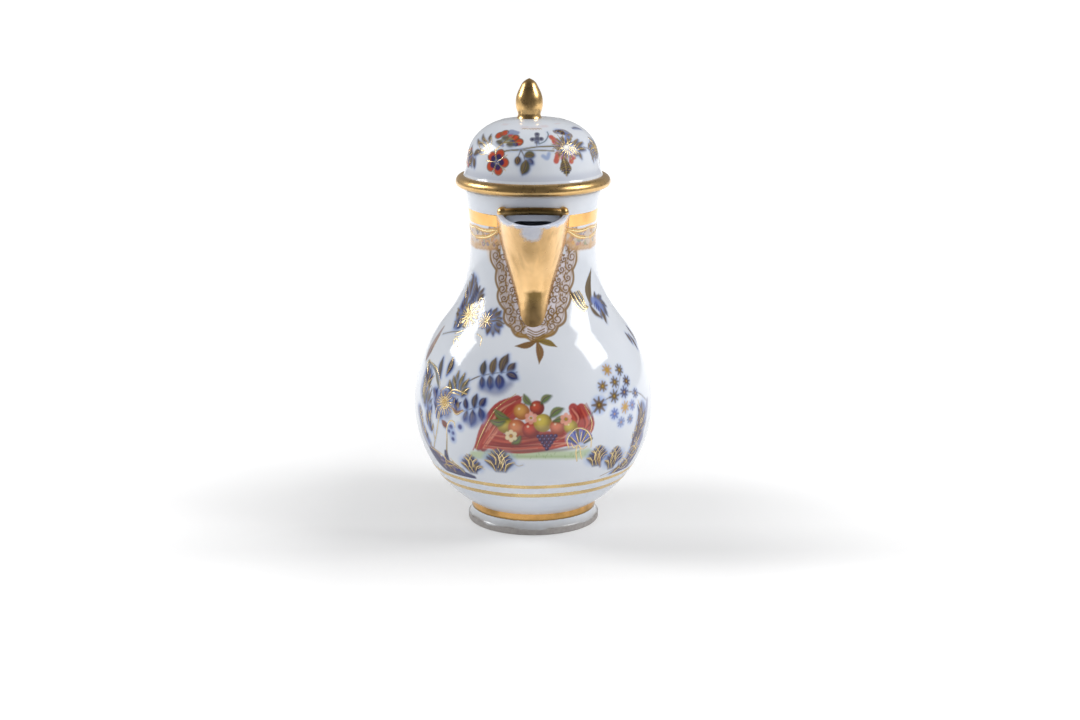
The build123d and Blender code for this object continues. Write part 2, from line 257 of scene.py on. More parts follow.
def spout_gilding():
    """Gold outside, white glaze in the channel, and glaze showing where the lip is rubbed bare."""
    # To the eye: a bright beak with a dark patch at its tip, a painted reflection, and a ragged pale lip
    made, add = new_material("spout_gilding")
    place = add("TexCoord").outputs["Object"]
    across, _, height = add("SeparateXYZ", place).outputs
    # The channel is the side of the spout that faces the jug's axis
    spout_axis = 24 * MM
    outward = add("VectorMath", place, (0, spout_axis, 0))
    flat = add("VectorMath", outward, (1, 1, 0), operation="MULTIPLY")
    facing = add("NewGeometry").outputs["True Normal"]
    inside = add("VectorMath", flat, facing, operation="DOT_PRODUCT").outputs["Value"]
    inside = add("MapRange", inside, 0.2 * MM, -0.2 * MM)
    # The gold wears away in notches about 2.4 mm across
    ragged = add("TexNoise", Vector=place, Scale=grain(2.381), Detail=3.0)
    depth = add("Math", add("Math", 0.5, ragged, operation="SUBTRACT"), 2.6 * MM, operation="MULTIPLY")
    edge = add("Math", height, depth)
    sideways = add("Math", across, add("Math", depth, 0.8, operation="MULTIPLY"))

    def oval(middle, low, half_width, half_height):
        """0 at a place on the spout and 1 on an oval round it."""
        squares = []
        for way, centre, reach in ((sideways, middle, half_width), (edge, low, half_height)):
            off = add("Math", way, centre * MM, operation="SUBTRACT")
            off = add("Math", off, reach * MM, operation="DIVIDE")
            squares.append(add("Math", off, off, operation="MULTIPLY"))
        return add("Math", *squares)

    lip = add("MapRange", edge, 103.0 * MM, 103.9 * MM)
    rubbed = add("MapRange", oval(-0.4, 102.1, 3.5, 3.5), 1.25, 0.5, To_Max=0.92)
    bare = add("Math", add("Math", lip, rubbed, operation="MAXIMUM"), inside, operation="MAXIMUM")

    # Brown in a patch by the tip, a painted reflection of the dark surroundings, in a faint oval above it,
    # and in streaks down the gold
    top = add("MapRange", edge, 82.4 * MM, 81.2 * MM, To_Max=0.95)
    patch = add("Math", top, add("MapRange", height, 71 * MM, 80 * MM, To_Min=0.35), operation="MULTIPLY")
    off_middle = add("Math", add("Math", sideways, 0.6 * MM, operation="SUBTRACT"), operation="ABSOLUTE")
    patch = add("Math", patch, add("MapRange", off_middle, 3.9 * MM, 1.7 * MM), operation="MULTIPLY")
    faint = add("MapRange", oval(-0.8, 95.6, 2.6, 4.6), 1.3, 0.0, To_Max=0.45)
    # Streaks 2.6 mm across, drawn out down the spout
    drawn_out = add("VectorMath", place, (1, 1, 0.07), operation="MULTIPLY")
    streaks = add("TexNoise", Vector=drawn_out, Scale=grain(2.632), Detail=3.0)
    streaks = add("MapRange", streaks, 0.52, 0.74, To_Max=0.26)
    painted_shade_and_wear = add("Math", add("Math", faint, patch, operation="MAXIMUM"), streaks, operation="MAXIMUM")
    worn = add("MapRange", height, 80 * MM, 74 * MM, To_Min=0.22, To_Max=0.42)
    gilt = gold(add, "E8C08A", "C59C62", worn, painted_shade_and_wear)
    tone = add("Mix", data_type="RGBA", Factor=ragged, _6=colour("B9C1D6"), _7=colour("DADFE8")).outputs[2]
    add("OutputMaterial", add("MixShader", bare, gilt, glaze_surface(add, tone, place)))
    return made


def lip_gilding():
    """Gold on the lip's roll, browned along its middle as painted shade and bright on the buds."""
    # To the eye: a dull brown saddle between two bright ends; the brown is painted shade
    made, add = new_material("lip_gilding")
    place = add("TexCoord").outputs["Object"]
    across = add("Math", add("SeparateXYZ", place), operation="ABSOLUTE")
    shaded_middle = add("MapRange", across, 8.6 * MM, 6.0 * MM, To_Max=0.85)
    add("OutputMaterial", gold(add, "DDB67A", "A9854F", 0.3, shaded_middle))
    return made


def foot_finish():
    """Foot: bare grey standing edge up to a scalloped glaze line, then thin glaze, greyer near the line with
    painted shade, then a gilt waist.
    """
    # The scallops are 6 mm across. Real grit is 0.2 mm across, too fine to show, so it is drawn five
    # times as coarse: the eye sees a dull, rough edge against the gloss. The gold wears in 9 mm patches.
    made, add = new_material("glazed_and_gilt_foot")
    place = add("TexCoord").outputs["Object"]
    height = add("SeparateXYZ", place).outputs["Z"]
    grit = add("TexNoise", Vector=place, Scale=grain(1.111), Detail=4.0)
    lines = []
    for noise, depth in ((add("TexNoise", Vector=place, Scale=grain(5.882), Detail=2.0), 2.2), (grit, 0.35)):
        wave = add("Math", add("Math", noise, 0.5, operation="SUBTRACT"), depth * MM, operation="MULTIPLY")
        lines.append(add("Math", height, wave))
    glaze_line, gilt_line = lines

    tone = add("Mix", data_type="RGBA", Factor=grit, _6=colour("878280"), _7=colour("B0ABA7")).outputs[2]
    bump = add("Bump", Height=grit, Strength=0.5, Distance=0.0004)
    biscuit = add("BsdfPrincipled", Base_Color=tone, Roughness=0.85, Normal=bump)
    # Darker grey towards the glaze line: partly thin glaze over the grey body, partly painted shade
    thin_glaze_and_shade = add("MapRange", glaze_line, 4.2 * MM, 2.2 * MM, To_Max=0.6)
    tone = add("Mix", data_type="RGBA", Factor=thin_glaze_and_shade, _6=colour("D3D7DD"), _7=colour("A9A6A2")).outputs[2]
    glaze = glaze_surface(add, tone, place)
    patches = add("TexNoise", Vector=place, Scale=grain(9.091), Detail=3.0)
    worn = add("MapRange", patches, 0.45, 0.7, To_Max=0.5)
    # Painted shade: the gilt waist turns brown along its lower edge
    low_edge = add("MapRange", gilt_line, 5.3 * MM, 4.7 * MM, To_Max=0.85)
    gilt = gold(add, "E4B270", "A67A42", 0.18, add("Math", low_edge, worn, operation="MAXIMUM"))
    lower = add("MixShader", add("MapRange", glaze_line, 2.0 * MM, 2.25 * MM), biscuit, glaze)
    add("OutputMaterial", add("MixShader", add("MapRange", gilt_line, 4.45 * MM, 4.6 * MM), lower, gilt))
    return made


# Surfaces of revolution, read from the CAD pieces

def pot_line():
    """The pot's outline from under the belly to the mouth, as radius and height in mm."""
    pot_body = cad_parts["body"]
    side = Vector((cos(READ_AT), sin(READ_AT), 0))
    under_belly, mouth, readings = 7.5, 110, 420
    found = []
    for height in np.linspace(under_belly, mouth, readings):
        hit, spot, _, _ = pot_body.ray_cast(side * OUTSIDE + Vector((0, 0, height * MM)), -side)
        if hit:
            found.append((spot.xy.length / MM, height))
    return smooth_line(found)


def dome_line():
    """The lid's outline from the rim to the collar, as radius and height in mm."""
    lid_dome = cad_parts["lid_dome"]
    dome_foot = Vector((0, 0, 114.8 * MM))
    rim_angle, collar_angle, readings = 2, 72, 240
    found = []
    for rise in np.radians(np.linspace(rim_angle, collar_angle, readings)):
        way = Vector((cos(READ_AT) * cos(rise), sin(READ_AT) * cos(rise), sin(rise)))
        hit, spot, _, _ = lid_dome.ray_cast(dome_foot + way * OUTSIDE, -way)
        if hit:
            found.append((spot.xy.length / MM, spot.z / MM))
    return smooth_line(found)


def smooth_line(found):
    """Evens out the facets of a mesh outline, by a cubic through the points within some mm of each."""
    found = np.array(found)
    steps = np.concatenate([[0], np.cumsum(np.hypot(*np.diff(found, axis=0).T))])
    neighbourhood = 5.0
    even = found.copy()
    for number, here in enumerate(steps):
        near = np.abs(steps - here) < neighbourhood
        for axis in (0, 1):
            even[number, axis] = np.polyval(np.polyfit(steps[near] - here, found[near, axis], 3), 0)
    return even


class Surface:
    """An outline turned round the jug's axis, with its length along the outline."""

    def __init__(self, line):
        self.height = line[:, 1]
        self.radius = line[:, 0]
        self.along = np.concatenate([[0], np.cumsum(np.hypot(*np.diff(line, axis=0).T))])

    def flat(self, points, middle):
        """Points in degrees and height as mm across and mm along, unrolled about a direction."""
        points = np.atleast_2d(np.asarray(points, float))
        radius = np.interp(points[:, 1], self.height, self.radius)
        across = np.radians(points[:, 0] - middle) * radius
        return np.column_stack([across, np.interp(points[:, 1], self.height, self.along)])

    def spot(self, anchor, across, up):
        """The point some mm across and up the surface from an anchor, as degrees and height."""
        height = np.interp(np.interp(anchor[1], self.height, self.along) + up, self.along, self.height)
        radius = np.interp(height, self.height, self.radius)
        return (anchor[0] + degrees(across / radius), float(height))

    def point(self, spot, lift=0.0):
        """A place on the surface in metres, raised by some mm along the surface's normal."""
        turn, height = radians(spot[0]), spot[1]
        radius = np.interp(height, self.height, self.radius)
        step = 0.2
        above, below = np.interp((height + step, height - step), self.height, self.radius)
        normal = np.array([2 * step, below - above]) / np.hypot(2 * step, above - below)
        radius, height = radius + normal[0] * lift, height + normal[1] * lift
        return (radius * sin(turn) * MM, -radius * cos(turn) * MM, height * MM)


def dress(piece, body, material):
    """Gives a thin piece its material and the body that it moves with."""
    piece.data.materials.append(material)
    piece.data.shade_smooth()
    piece.data.update()
    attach(piece, body)


class Sheet:
    """A fine skin over part of a surface, on which the painting is laid down point by point."""

    def __init__(self, name, surface, first, last, low, high, step):
        self.name, self.surface = name, surface
        along_low, along_high = np.interp((low, high), surface.height, surface.along)
        rows = int((along_high - along_low) / step) + 1
        widest = max(surface.radius[(surface.height >= low) & (surface.height <= high)])
        columns = int(radians(last - first) * widest / step) + 1
        self.along = np.linspace(along_low, along_high, rows)
        self.height = np.interp(self.along, surface.along, surface.height)
        self.radius = np.interp(self.along, surface.along, surface.radius)
        self.turn = np.linspace(first, last, columns)
        self.paint = np.empty((rows, columns, 3))
        self.paint[:] = colour(GLAZE)[:3]

    def brush(self, line, tint, soft, strength):
        """A brush stroke along points of degrees, height and half width in mm."""
        middle = line[:, 0].mean()
        flat = self.surface.flat(line[:, :2], middle)
        margin = line[:, 2].max() + soft
        rows = slice(*np.searchsorted(self.along, (flat[:, 1].min() - margin, flat[:, 1].max() + margin)))
        radius = self.radius[rows]
        if not len(radius):
            return
        spare = 0.5
        reach = np.degrees((margin + spare) / radius.min())
        ends = (line[:, 0].min() - reach, line[:, 0].max() + reach)
        columns = slice(*np.searchsorted(self.turn, ends))
        across = np.radians(self.turn[columns] - middle)[None, :] * radius[:, None]
        along = self.along[rows][:, None]
        if not across.size:
            return

        # How far each point of the sheet is outside the stroke's edge, in mm
        near = np.full(across.shape, np.inf)
        for (x, y), (end_x, end_y), half, end_half in zip(flat, flat[1:], line[:, 2], line[1:, 2]):
            run = (end_x - x) ** 2 + (end_y - y) ** 2 + 1e-9
            share = np.clip(((across - x) * (end_x - x) + (along - y) * (end_y - y)) / run, 0, 1)
            gap = np.hypot(across - x - share * (end_x - x), along - y - share * (end_y - y))
            near = np.minimum(near, gap - half - share * (end_half - half))
        cover = np.clip(0.5 - near / soft, 0, 1)
        cover = cover * cover * (3 - 2 * cover) * strength
        paint = self.paint[rows, columns]
        paint += (np.array(colour(tint)[:3]) - paint) * cover[..., None]

    def finish(self, body, material):
        """Makes the skin from a grid and stores the painting in it."""
        rows, columns = self.paint.shape[:2]
        bpy.ops.mesh.primitive_grid_add(x_subdivisions=columns - 1, y_subdivisions=rows - 1, size=1)
        piece = bpy.context.object
        piece.name = self.name
        turn = np.radians(self.turn)[None, :]
        slope = np.gradient(self.radius) / np.maximum(np.gradient(self.along), 1e-6)
        rise = np.sqrt(np.clip(1 - slope**2, 0, 1))
        radius = (self.radius + SKIN * rise)[:, None]
        height = (self.height - SKIN * slope)[:, None]
        places = np.stack(np.broadcast_arrays(radius * np.sin(turn), -radius * np.cos(turn), height), axis=-1)
        piece.data.vertices.foreach_set("co", (places * MM).astype(np.float32).ravel())
        layer = piece.data.color_attributes.new("painting", "FLOAT_COLOR", "POINT")
        rgba = np.concatenate([self.paint, np.ones((rows, columns, 1))], axis=-1)
        layer.data.foreach_set("color", rgba.astype(np.float32).ravel())
        dress(piece, body, material)


class Gilder:
    """Raised gold lines on a surface, gathered into one piece."""

    def __init__(self, name, surface):
        self.name, self.surface = name, surface
        self.curve = bpy.data.curves.new(name, "CURVE")
        self.curve.dimensions = "3D"
        self.curve.bevel_depth = 1 * MM
        self.curve.bevel_resolution = 1
        self.curve.use_fill_caps = True

    def line(self, points):
        """One gold line through points of degrees, height and half width in mm, mostly sunk in the glaze."""
        spline = self.curve.splines.new("POLY")
        spline.points.add(len(points) - 1)
        for made, (turn, height, half) in zip(spline.points, points):
            # A wire sunk by 0.8 of its radius shows 0.6 of its width
            wire = half / 0.6
            made.co = (*self.surface.point((turn, height), -0.8 * wire + SKIN), 1)
            made.radius = wire

    def finish(self, body, material):
        """Turns the lines into one mesh."""
        lines = bpy.data.objects.new(self.name, self.curve)
        bpy.context.scene.collection.objects.link(lines)
        bpy.ops.object.select_all(action="DESELECT")
        lines.select_set(True)
        bpy.context.view_layer.objects.active = lines
        bpy.ops.object.convert(target="MESH")
        dress(bpy.context.object, body, material)


def smoothed(points, count=5):
    """A smooth run of points through a few of them."""
    knots = np.asarray(points, float)
    if len(knots) < 2:
        return knots
    padded = np.vstack([2 * knots[0] - knots[1], knots, 2 * knots[-1] - knots[-2]])
    out = []
    for a, b, c, d in zip(padded, padded[1:], padded[2:], padded[3:]):
        for share in np.arange(count) / count:
            out.append(0.5 * (2 * b + (c - a) * share + (2 * a - 5 * b + 4 * c - d) * share**2
                              + (3 * b - a - 3 * c + d) * share**3))
    return np.array([*out, knots[-1]])


# The painter's hand: motifs made of brush strokes and gold lines

class Painter:
    """Paints motifs on a surface's sheets and gives their gold lines to the gilder."""

    def __init__(self, surface, sheets, bright, dull, seed):
        self.surface, self.spot, self.sheets = surface, surface.spot, sheets
        self.bright, self.dull = bright, dull
        self.chance = random.Random(seed)
        self.between = self.chance.uniform

    def brush(self, points, tint, soft=0.3, strength=1.0, steady=False):
        """A brush stroke through points of degrees, height, half width, on each sheet it reaches."""
        points = np.asarray(points, float) if steady else smoothed(points)
        for sheet in self.sheets:
            sheet.brush(points, tint, soft, strength)
            sheet.brush(points + (360, 0, 0), tint, soft, strength)

    def trace(self, points, half, *stroke):
        """A brush stroke through points of degrees and height, with one half width or one for each."""
        self.brush(np.column_stack([points, np.broadcast_to(half, len(points))]), *stroke)

    def dot(self, centre, half, tint, soft, strength):
        """A round touch of the brush."""
        self.brush([(*centre, half)] * 2, tint, soft, strength, True)

    def gild(self, points, width=0.3, dull=False):
        """A gold line that tapers at both ends, over a painted one."""
        line = smoothed(points)
        self.trace(line[:, :2], width * 0.5, "8A7148" if dull else "CBAA66", 0.22, 0.8, True)
        count = len(line)
        taper = np.array([min(1, 0.35 + 2.2 * min(k, count - 1 - k) / count) for k in range(count)])
        (self.dull if dull else self.bright).line(np.column_stack([line[:, :2], taper * width / 2]))

    def bowed(self, start, end, bow=0.0):
        """A start, a middle bowed to the left by a share of the length, and an end."""
        here = self.surface.flat([start, end], start[0])
        run = here[1] - here[0]
        side = np.array([-run[1], run[0]]) * bow
        return [start, self.spot(start, *(run / 2 + side)), end]

    def toward(self, start, angle, length):
        """The place at a length in mm from a start, at an angle from straight up, clockwise."""
        return self.spot(start, length * sin(radians(angle)), length * cos(radians(angle)))

    def ring(self, centre, angles, length):
        """Places round a centre at some angles and one length from it."""
        return [self.toward(centre, angle, length) for angle in angles]

    def leaf(self, base, tip, width=1.5, bow=0.08, tint=OLIVE, shade=BLUE, halo=0.5, gilt=0, vein=True):
        """A leaf: blue run under the glaze, a dull gold body, a dark vein, sometimes gold hatching."""
        line = self.bowed(base, tip, bow)
        body = [(*place, half) for place, half in zip(line, (0.14, width * 0.56, 0.08))]
        low = [(*self.spot(place, 0.16, -0.3), half + 0.16) for *place, half in body]
        if halo:
            self.brush([(*place, half + 0.45) for *place, half in low], HALO, 1.9, halo)
        self.brush(low, shade, 1.1, 0.85)
        self.brush(body, tint, 0.48, 0.88)
        edge = [(*self.spot(place, -0.18, 0.1), half * 0.45) for *place, half in body]
        self.brush(edge, "94805A", 0.5, 0.5)
        if vein:
            self.trace(line, (0.1, 0.15, 0.05), DEEP_BLUE, 0.26, 0.6)
        for number in range(gilt):
            share = (number + 1) / (gilt + 1) - 0.5
            self.gild([base, self.spot(line[1], share * width, 0.1), tip], 0.2)

    def leaves(self, lines, *how):
        """Several leaves of one kind, each from its foot to its tip."""
        for base, tip in lines:
            self.leaf(base, tip, *how)

    def ribs(self, lines, bow, *how):
        """Gold lines bowed to both sides of each leaf."""
        for base, tip in lines:
            for side in (-bow, bow):
                self.gild(self.bowed(base, tip, side), *how)

    def stem(self, points, width=0.5, tint=OLIVE, gilt=False):
        """A stalk or branch."""
        self.trace(points, width / 2 + 0.35, HALO, 1.4, 0.35)
        self.trace(points, width / 2, tint, 0.25, 0.9)
        if gilt:
            self.gild(points, 0.24)

    def bloom(self, centre, radius, petals=16, core=0.35, dark=True):
        """A chrysanthemum: dark petals on blue, gold rays and a gold heart with a brown eye."""
        self.dot(centre, radius * 0.95, HALO, 2.4, 0.65)
        self.dot(centre, radius * 0.75, BLUE, 1.4, 0.75)
        for number in range(petals):
            angle = 360 * number / petals + self.between(-6, 6)
            inner = self.toward(centre, angle, radius * (core or 0.3))
            outer = self.toward(centre, angle + 6, radius * self.between(0.85, 1.1))
            tone = self.chance.choice((DEEP_BLUE, OLIVE, BROWN)) if dark else BLUE
            self.trace([inner, outer], (0.2, 0.42), tone, 0.4, 0.8)
            self.gild([inner, self.toward(centre, angle + 5, radius * 0.68), outer], 0.3)
        if not core:
            # With no heart, a pale centre where the lamp's highlight falls, partly a painted highlight
            self.dot(centre, radius * 0.2, "EADFC6", 0.8, 0.95)
            return
        self.dot(centre, radius * core * 0.9, "C79A45", 0.3, 0.95)
        self.gild(self.ring(centre, range(0, 361, 45), radius * core), 0.42)
        self.gild(self.ring(centre, range(0, 361, 60), radius * core * 0.45), 0.26)

    def star(self, centre, radius, tint=OLIVE):
        """A small star flower in dull gold over a pale blue halo."""
        radius *= 1.5
        rays = 8
        self.dot(centre, radius * 1.05, "9DB4E2", 2.0, 0.8)
        self.dot(centre, radius * 0.5, BLUE, 0.9, 0.2)
        for number in range(rays):
            angle = 360 * number / rays + self.between(-8, 8)
            tip = self.toward(centre, angle, radius * self.between(0.8, 1.0))
            self.trace([centre, tip], (radius * 0.26, 0.28), tint, 0.5, 0.85)
        self.dot(centre, 0.36, "C39A4C", 0.4, 0.75)

    def bush(self, centre, wide, high, strokes):
        """A clump of long curled leaves that fan upwards from one root, edged with gold."""
        root = self.spot(centre, 0, -high * 0.45)
        span = [self.spot(centre, side * wide * 0.24, -0.2) for side in (-1, 1)]
        self.trace(span, high * 0.42, HALO, 2.4, 0.6)
        self.trace(span, high * 0.27, BLUE, 1.5, 0.6)
        for number in range(strokes):
            share = number / (strokes - 1) - 0.5
            side = 1 if share > 0 else -1
            tip = self.spot(centre, share * wide * 1.05, high * (0.52 - 2.2 * share * share))
            begin = self.spot(root, share * wide * 0.35, high * 0.14 * (number % 3))
            tone = (OLIVE, DEEP_BLUE, BLUE)[number % 3]
            self.leaf(begin, tip, 1.0, 0.14 * side, tone, DEEP_BLUE, 0, 0, False)
            if number % 2 == 0:
                self.gild(self.bowed(begin, self.spot(tip, side * 0.2, 0.1), 0.22 * side), 0.28)
            if number % 3 == 1:
                start = self.spot(begin, side * 0.9, high * 0.12)
                self.gild(self.bowed(start, self.spot(tip, side * 0.9, -high * 0.16), 0.25 * side), 0.22)

    def hatched(self, points, width, strokes, angle, tint=OLIVE, gilt=0.3):
        """A blue mass along a line, covered with small pointed leaves, some of them veined with gold."""
        path = smoothed(points)
        self.trace(path, width / 2 + 0.4, HALO, 2.2, 0.7, True)
        self.trace(path, width * 0.4, BLUE, 1.4, 0.75, True)
        for number in range(strokes):
            place = path[int(number * (len(path) - 1) / max(1, strokes - 1))]
            shift = (self.between(-0.42, 0.42) * width, self.between(-0.3, 0.3) * width)
            place = self.spot(place, *shift)
            turn = angle + self.between(-25, 25) + 60 * shift[0] / width
            line = [self.toward(place, turn + 180, width * 0.32),
                    place, self.toward(place, turn, width * 0.42)]
            tone = (tint, DEEP_BLUE, tint, BROWN, "8E7B58")[number % 5]
            self.trace(line, (0.16, 0.42, 0.08), tone, 0.34, 0.92)
            if self.chance.random() < gilt:
                self.gild(line, 0.22)

    def rock(self, points, width):
        """A dark blue mound with brown facets and a gold edge."""
        path = smoothed(points)
        self.trace(path, width / 2 + 0.3, HALO, 1.8, 0.6, True)
        self.trace(path, width / 2, DEEP_BLUE, 0.7, 0.82, True)
        for place in path[::2]:
            start = self.spot(place, self.between(-1.2, 0.2), width * 0.34)
            end = self.spot(place, self.between(-0.2, 1.2), -width * 0.3)
            tone = self.chance.choice((BROWN, OLIVE, BLUE, "7C7290", DEEP_BLUE))
            self.trace([start, end], (0.5, 0.35), tone, 0.6, 0.75)
        self.gild([self.spot(place, 0, width / 2) for place in points], 0.3)
        self.gild([self.spot(place, 0.6, -width * 0.1) for place in points], 0.22)


# The pot's painting

def paint_left_garden(hand):
    """Flowering trees on a rock, left of the spout."""
    # The tree above the highlight
    hand.brush([(-54, 82.3, 0.6), (-61.2, 77.1, 1.9), (-62, 72.1, 2.2), (-57.3, 68.2, 1.0)], HALO, 2.4, 0.8)
    hand.brush([(-56.4, 81.5, 0.3), (-63.6, 76.6, 1.1), (-63.5, 73.2, 1.4)], "41458E", 1.1, 0.9)
    hand.hatched([(-60.2, 81.9), (-64, 77.5), (-63.5, 73.2), (-56.9, 68.6)], 4.6, 40, -35, OLIVE, 0.1)
    hand.leaf((-59.7, 77.2), (-62.8, 84.3), 1.3, 0.05, OLIVE, BLUE, 0.5)
    hand.leaves((((-53.7, 76.4), (-57.2, 80.8)), ((-50.9, 76.3), (-50.1, 81)), ((-48.7, 76.4), (-44.8, 80.6)),
                 ((-54.3, 77.6), (-55.2, 81.9)), ((-47.2, 76.2), (-43.4, 78.9))),
                1.3, 0.08, OLIVE, DEEP_BLUE, 0.35)
    for number in range(9):
        base, turn = (-51.6, 71.1), -150 + number * 22
        hand.leaf(hand.toward(base, turn, 2.2), hand.toward(base, turn, 4.6),
                  1.3, 0.06, "2C2830", DEEP_BLUE, 0.2)
    for number in range(12):
        base = hand.spot((-56.6, 69.5), 0.2 * number, number * 1.0)
        hand.leaf(base, hand.toward(base, -62 + 3 * number, 2.6), 0.8, 0.1, ("2C2830", "5A4E38")[number % 2],
                  DEEP_BLUE, 0.2)
    hand.bloom((-51.1, 72), 4.2, 26, 0.2)
    hand.gild([(-45.4, 74.8), (-46.1, 77.2), (-41.7, 77.1), (-40.8, 74.5), (-43.6, 73.4)], 0.34)
    hand.gild([(-50.7, 63.2), (-52.9, 64.5), (-49.9, 65), (-46.8, 63.5), (-49.2, 62.7)], 0.36)
    hand.gild([(-55, 66.1), (-52.3, 66.9), (-48.7, 67.8)], 0.3)
    hand.gild([(-53.4, 65.3), (-49.6, 65.9), (-47.1, 66.7)], 0.26)
    hand.gild([(-37, 67.5), (-32.4, 66.6), (-31.8, 64.4)], 0.24)
    # The small tree beside the spout's border
    hand.brush([(-30.5, 70.4, 1.3), (-27.6, 72.5, 1.9), (-25.4, 74, 0.9)], HALO, 2.2, 0.7)
    for root, tip in (((-32, 72), (-32.8, 74.9)), ((-29.9, 72.4), (-27.9, 75.4)),
                      ((-27.9, 71.9), (-24.2, 74.7)), ((-26.7, 71.4), (-22.3, 72.7)),
                      ((-29.3, 70.7), (-25.5, 67.8)), ((-27, 70.8), (-21.9, 68.5)),
                      ((-31.5, 70.6), (-29.8, 67.9)), ((-25.8, 71.2), (-20.9, 70.5))):
        hand.leaf(root, tip, 1.5, 0.06, (DEEP_BLUE, OLIVE)[tip > root], BLUE, 0.5)
    hand.bloom((-33.9, 71.4), 2.8, 14, 0.14, False)
    hand.stem([(-19.9, 71.1), (-24, 71.8), (-29.2, 71.6)], 0.4)
    # The leaning trunk at the edge
    hand.stem([(-49.2, 67.4), (-59, 66.3), (-67.6, 64.8)], 0.45, "8A8478")
    hand.brush([(-72.6, 66.4, 0.5), (-72.3, 63, 1.3), (-72.9, 59.4, 1.7), (-73.3, 56.5, 0.9)],
               "9C8682", 0.9, 0.9)
    hand.brush([(-70.7, 64.1, 0.2), (-71.3, 60.3, 0.4), (-71.4, 57.4, 0.2)], "6F5E66", 0.5, 0.8)
    hand.gild([(-70.2, 64.5), (-71.2, 61.5), (-70.3, 58.5)], 0.24, True)
    hand.brush([(-68.9, 56.1, 0.5), (-58.5, 55, 0.8), (-54.5, 52.3, 0.7), (-52.2, 49.8, 0.4)],
               "75705A", 0.4, 0.9)
    hand.gild([(-68, 56.5), (-57.6, 55.1), (-52.6, 52.3), (-51.3, 49.6)], 0.26)
    hand.leaf((-52.8, 53.2), (-55.3, 59.1), 1.7, 0.08, "5E5A4A", BLUE, 0.9)
    hand.leaf((-48.4, 54.6), (-47.3, 59.9), 2.0, -0.08, "2B2630", BLUE, 0.9, 2)
    # Two leafy branches towards the middle
    hand.stem([(-33.2, 54), (-27.4, 55.9), (-17.9, 57.4), (-8.1, 57.9)], 0.4)
    for base, tip, width, shade in (((-25.8, 56.3), (-26.2, 60.4), 1.9, "4A4A44"),
                                    ((-21, 56.9), (-20.3, 61.6), 2.1, OLIVE),
                                    ((-16.4, 57.7), (-13.8, 62.9), 2.5, "55483A"),
                                    ((-26.2, 55.7), (-25.5, 52.8), 1.7, "3F4A6E"),
                                    ((-22, 56.3), (-21.2, 52.7), 2.2, "4E5676"),
                                    ((-17.3, 56.8), (-16.6, 53), 2.6, "3C4272"),
                                    ((-12.7, 57.5), (-9.5, 60.5), 1.9, "4A4048"),
                                    ((-13.2, 57.2), (-7.9, 56.2), 2.0, DEEP_BLUE)):
        hand.leaf(base, tip, width, 0.06, shade, DEEP_BLUE, 0.75)
    hand.brush([(-25.5, 52.8, 1.4), (-17.1, 52.6, 2.0), (-11.3, 54.4, 1.0)], BLUE, 2.4, 0.6)
    hand.stem([(-41.3, 44.5), (-36.9, 44), (-32.4, 45.1), (-27.1, 46.5), (-23, 47.4)], 0.4)
    for base, tip, width, shade in (((-32.4, 45.4), (-33.6, 48.8), 1.6, DEEP_BLUE),
                                    ((-28.6, 46.1), (-27.7, 50.5), 1.9, "40404C"),
                                    ((-25.5, 46.6), (-22.8, 49.6), 1.9, DEEP_BLUE),
                                    ((-32.3, 44.8), (-33.8, 41.8), 1.7, "3C4470"),
                                    ((-29.1, 45.4), (-29.9, 40.6), 2.3, "38406E"),
                                    ((-25.5, 46.3), (-24.2, 42.6), 1.9, "38406E")):
        hand.leaf(base, tip, width, 0.06, shade, BLUE, 0.8)
    hand.brush([(-33.8, 42.1, 1.0), (-28.8, 41.6, 1.9), (-23.3, 44.6, 1.2)], BLUE, 2.4, 0.6)
    # The big flower with leaves round it
    for centre, half in (((-48.2, 47.5), 2.6), ((-42.6, 50), 2.6), ((-45.1, 43.1), 2.4),
                         ((-36.4, 50.7), 2.0)):
        hand.dot(centre, half, BLUE, 3.0, 0.75)
    hand.leaves((((-40, 50.3), (-40.6, 56.4)), ((-38.1, 50.2), (-36.5, 56.1)), ((-40.2, 50.9), (-43.1, 54.6)),
                 ((-36.8, 50), (-33.4, 54.6)), ((-36.1, 49.4), (-32.5, 51.9)), ((-42.6, 50), (-45.3, 53.1))),
                1.5, 0.06, "6F6A4C", DEEP_BLUE, 0.6, 1)
    hand.gild([(-45.5, 48.1), (-42, 50.4), (-37.6, 50.5), (-33.2, 50)], 0.42)
    hand.gild([(-43.7, 49.3), (-40.5, 49.6), (-37.3, 49.3)], 0.36)
    hand.gild([(-50.3, 49.1), (-47.1, 50.7), (-43.6, 50.8)], 0.3)
    hand.brush([(-66.2, 52, 2.4), (-66.2, 47.1, 2.8), (-61.1, 43.4, 2.2)], BLUE, 2.4, 0.75)
    hand.hatched([(-63.9, 52.3), (-64.2, 48.1), (-60.2, 44.2)], 6.0, 44, 0, "56523F", 0.15)
    hand.hatched([(-54.1, 48.3), (-52.1, 44.7), (-49.3, 41.5)], 3.6, 22, 10, BLUE, 0.1)
    hand.hatched([(-39.8, 46.9), (-37.6, 44.9)], 3.0, 12, 10, BLUE, 0.1)
    hand.bloom((-46.5, 45.9), 3.7, 20, 0.34, False)
    hand.gild(hand.ring((-46.5, 45.9), range(0, 361, 40), 1.9), 0.34)
    hand.brush([(-40.7, 44.9, 0.3), (-38.1, 43.6, 0.7), (-34.6, 44.9, 0.2)], "8A5B3A", 0.3, 0.9)
    hand.gild([(-41.3, 44.8), (-38.6, 43.2), (-34.6, 44.6)], 0.34)
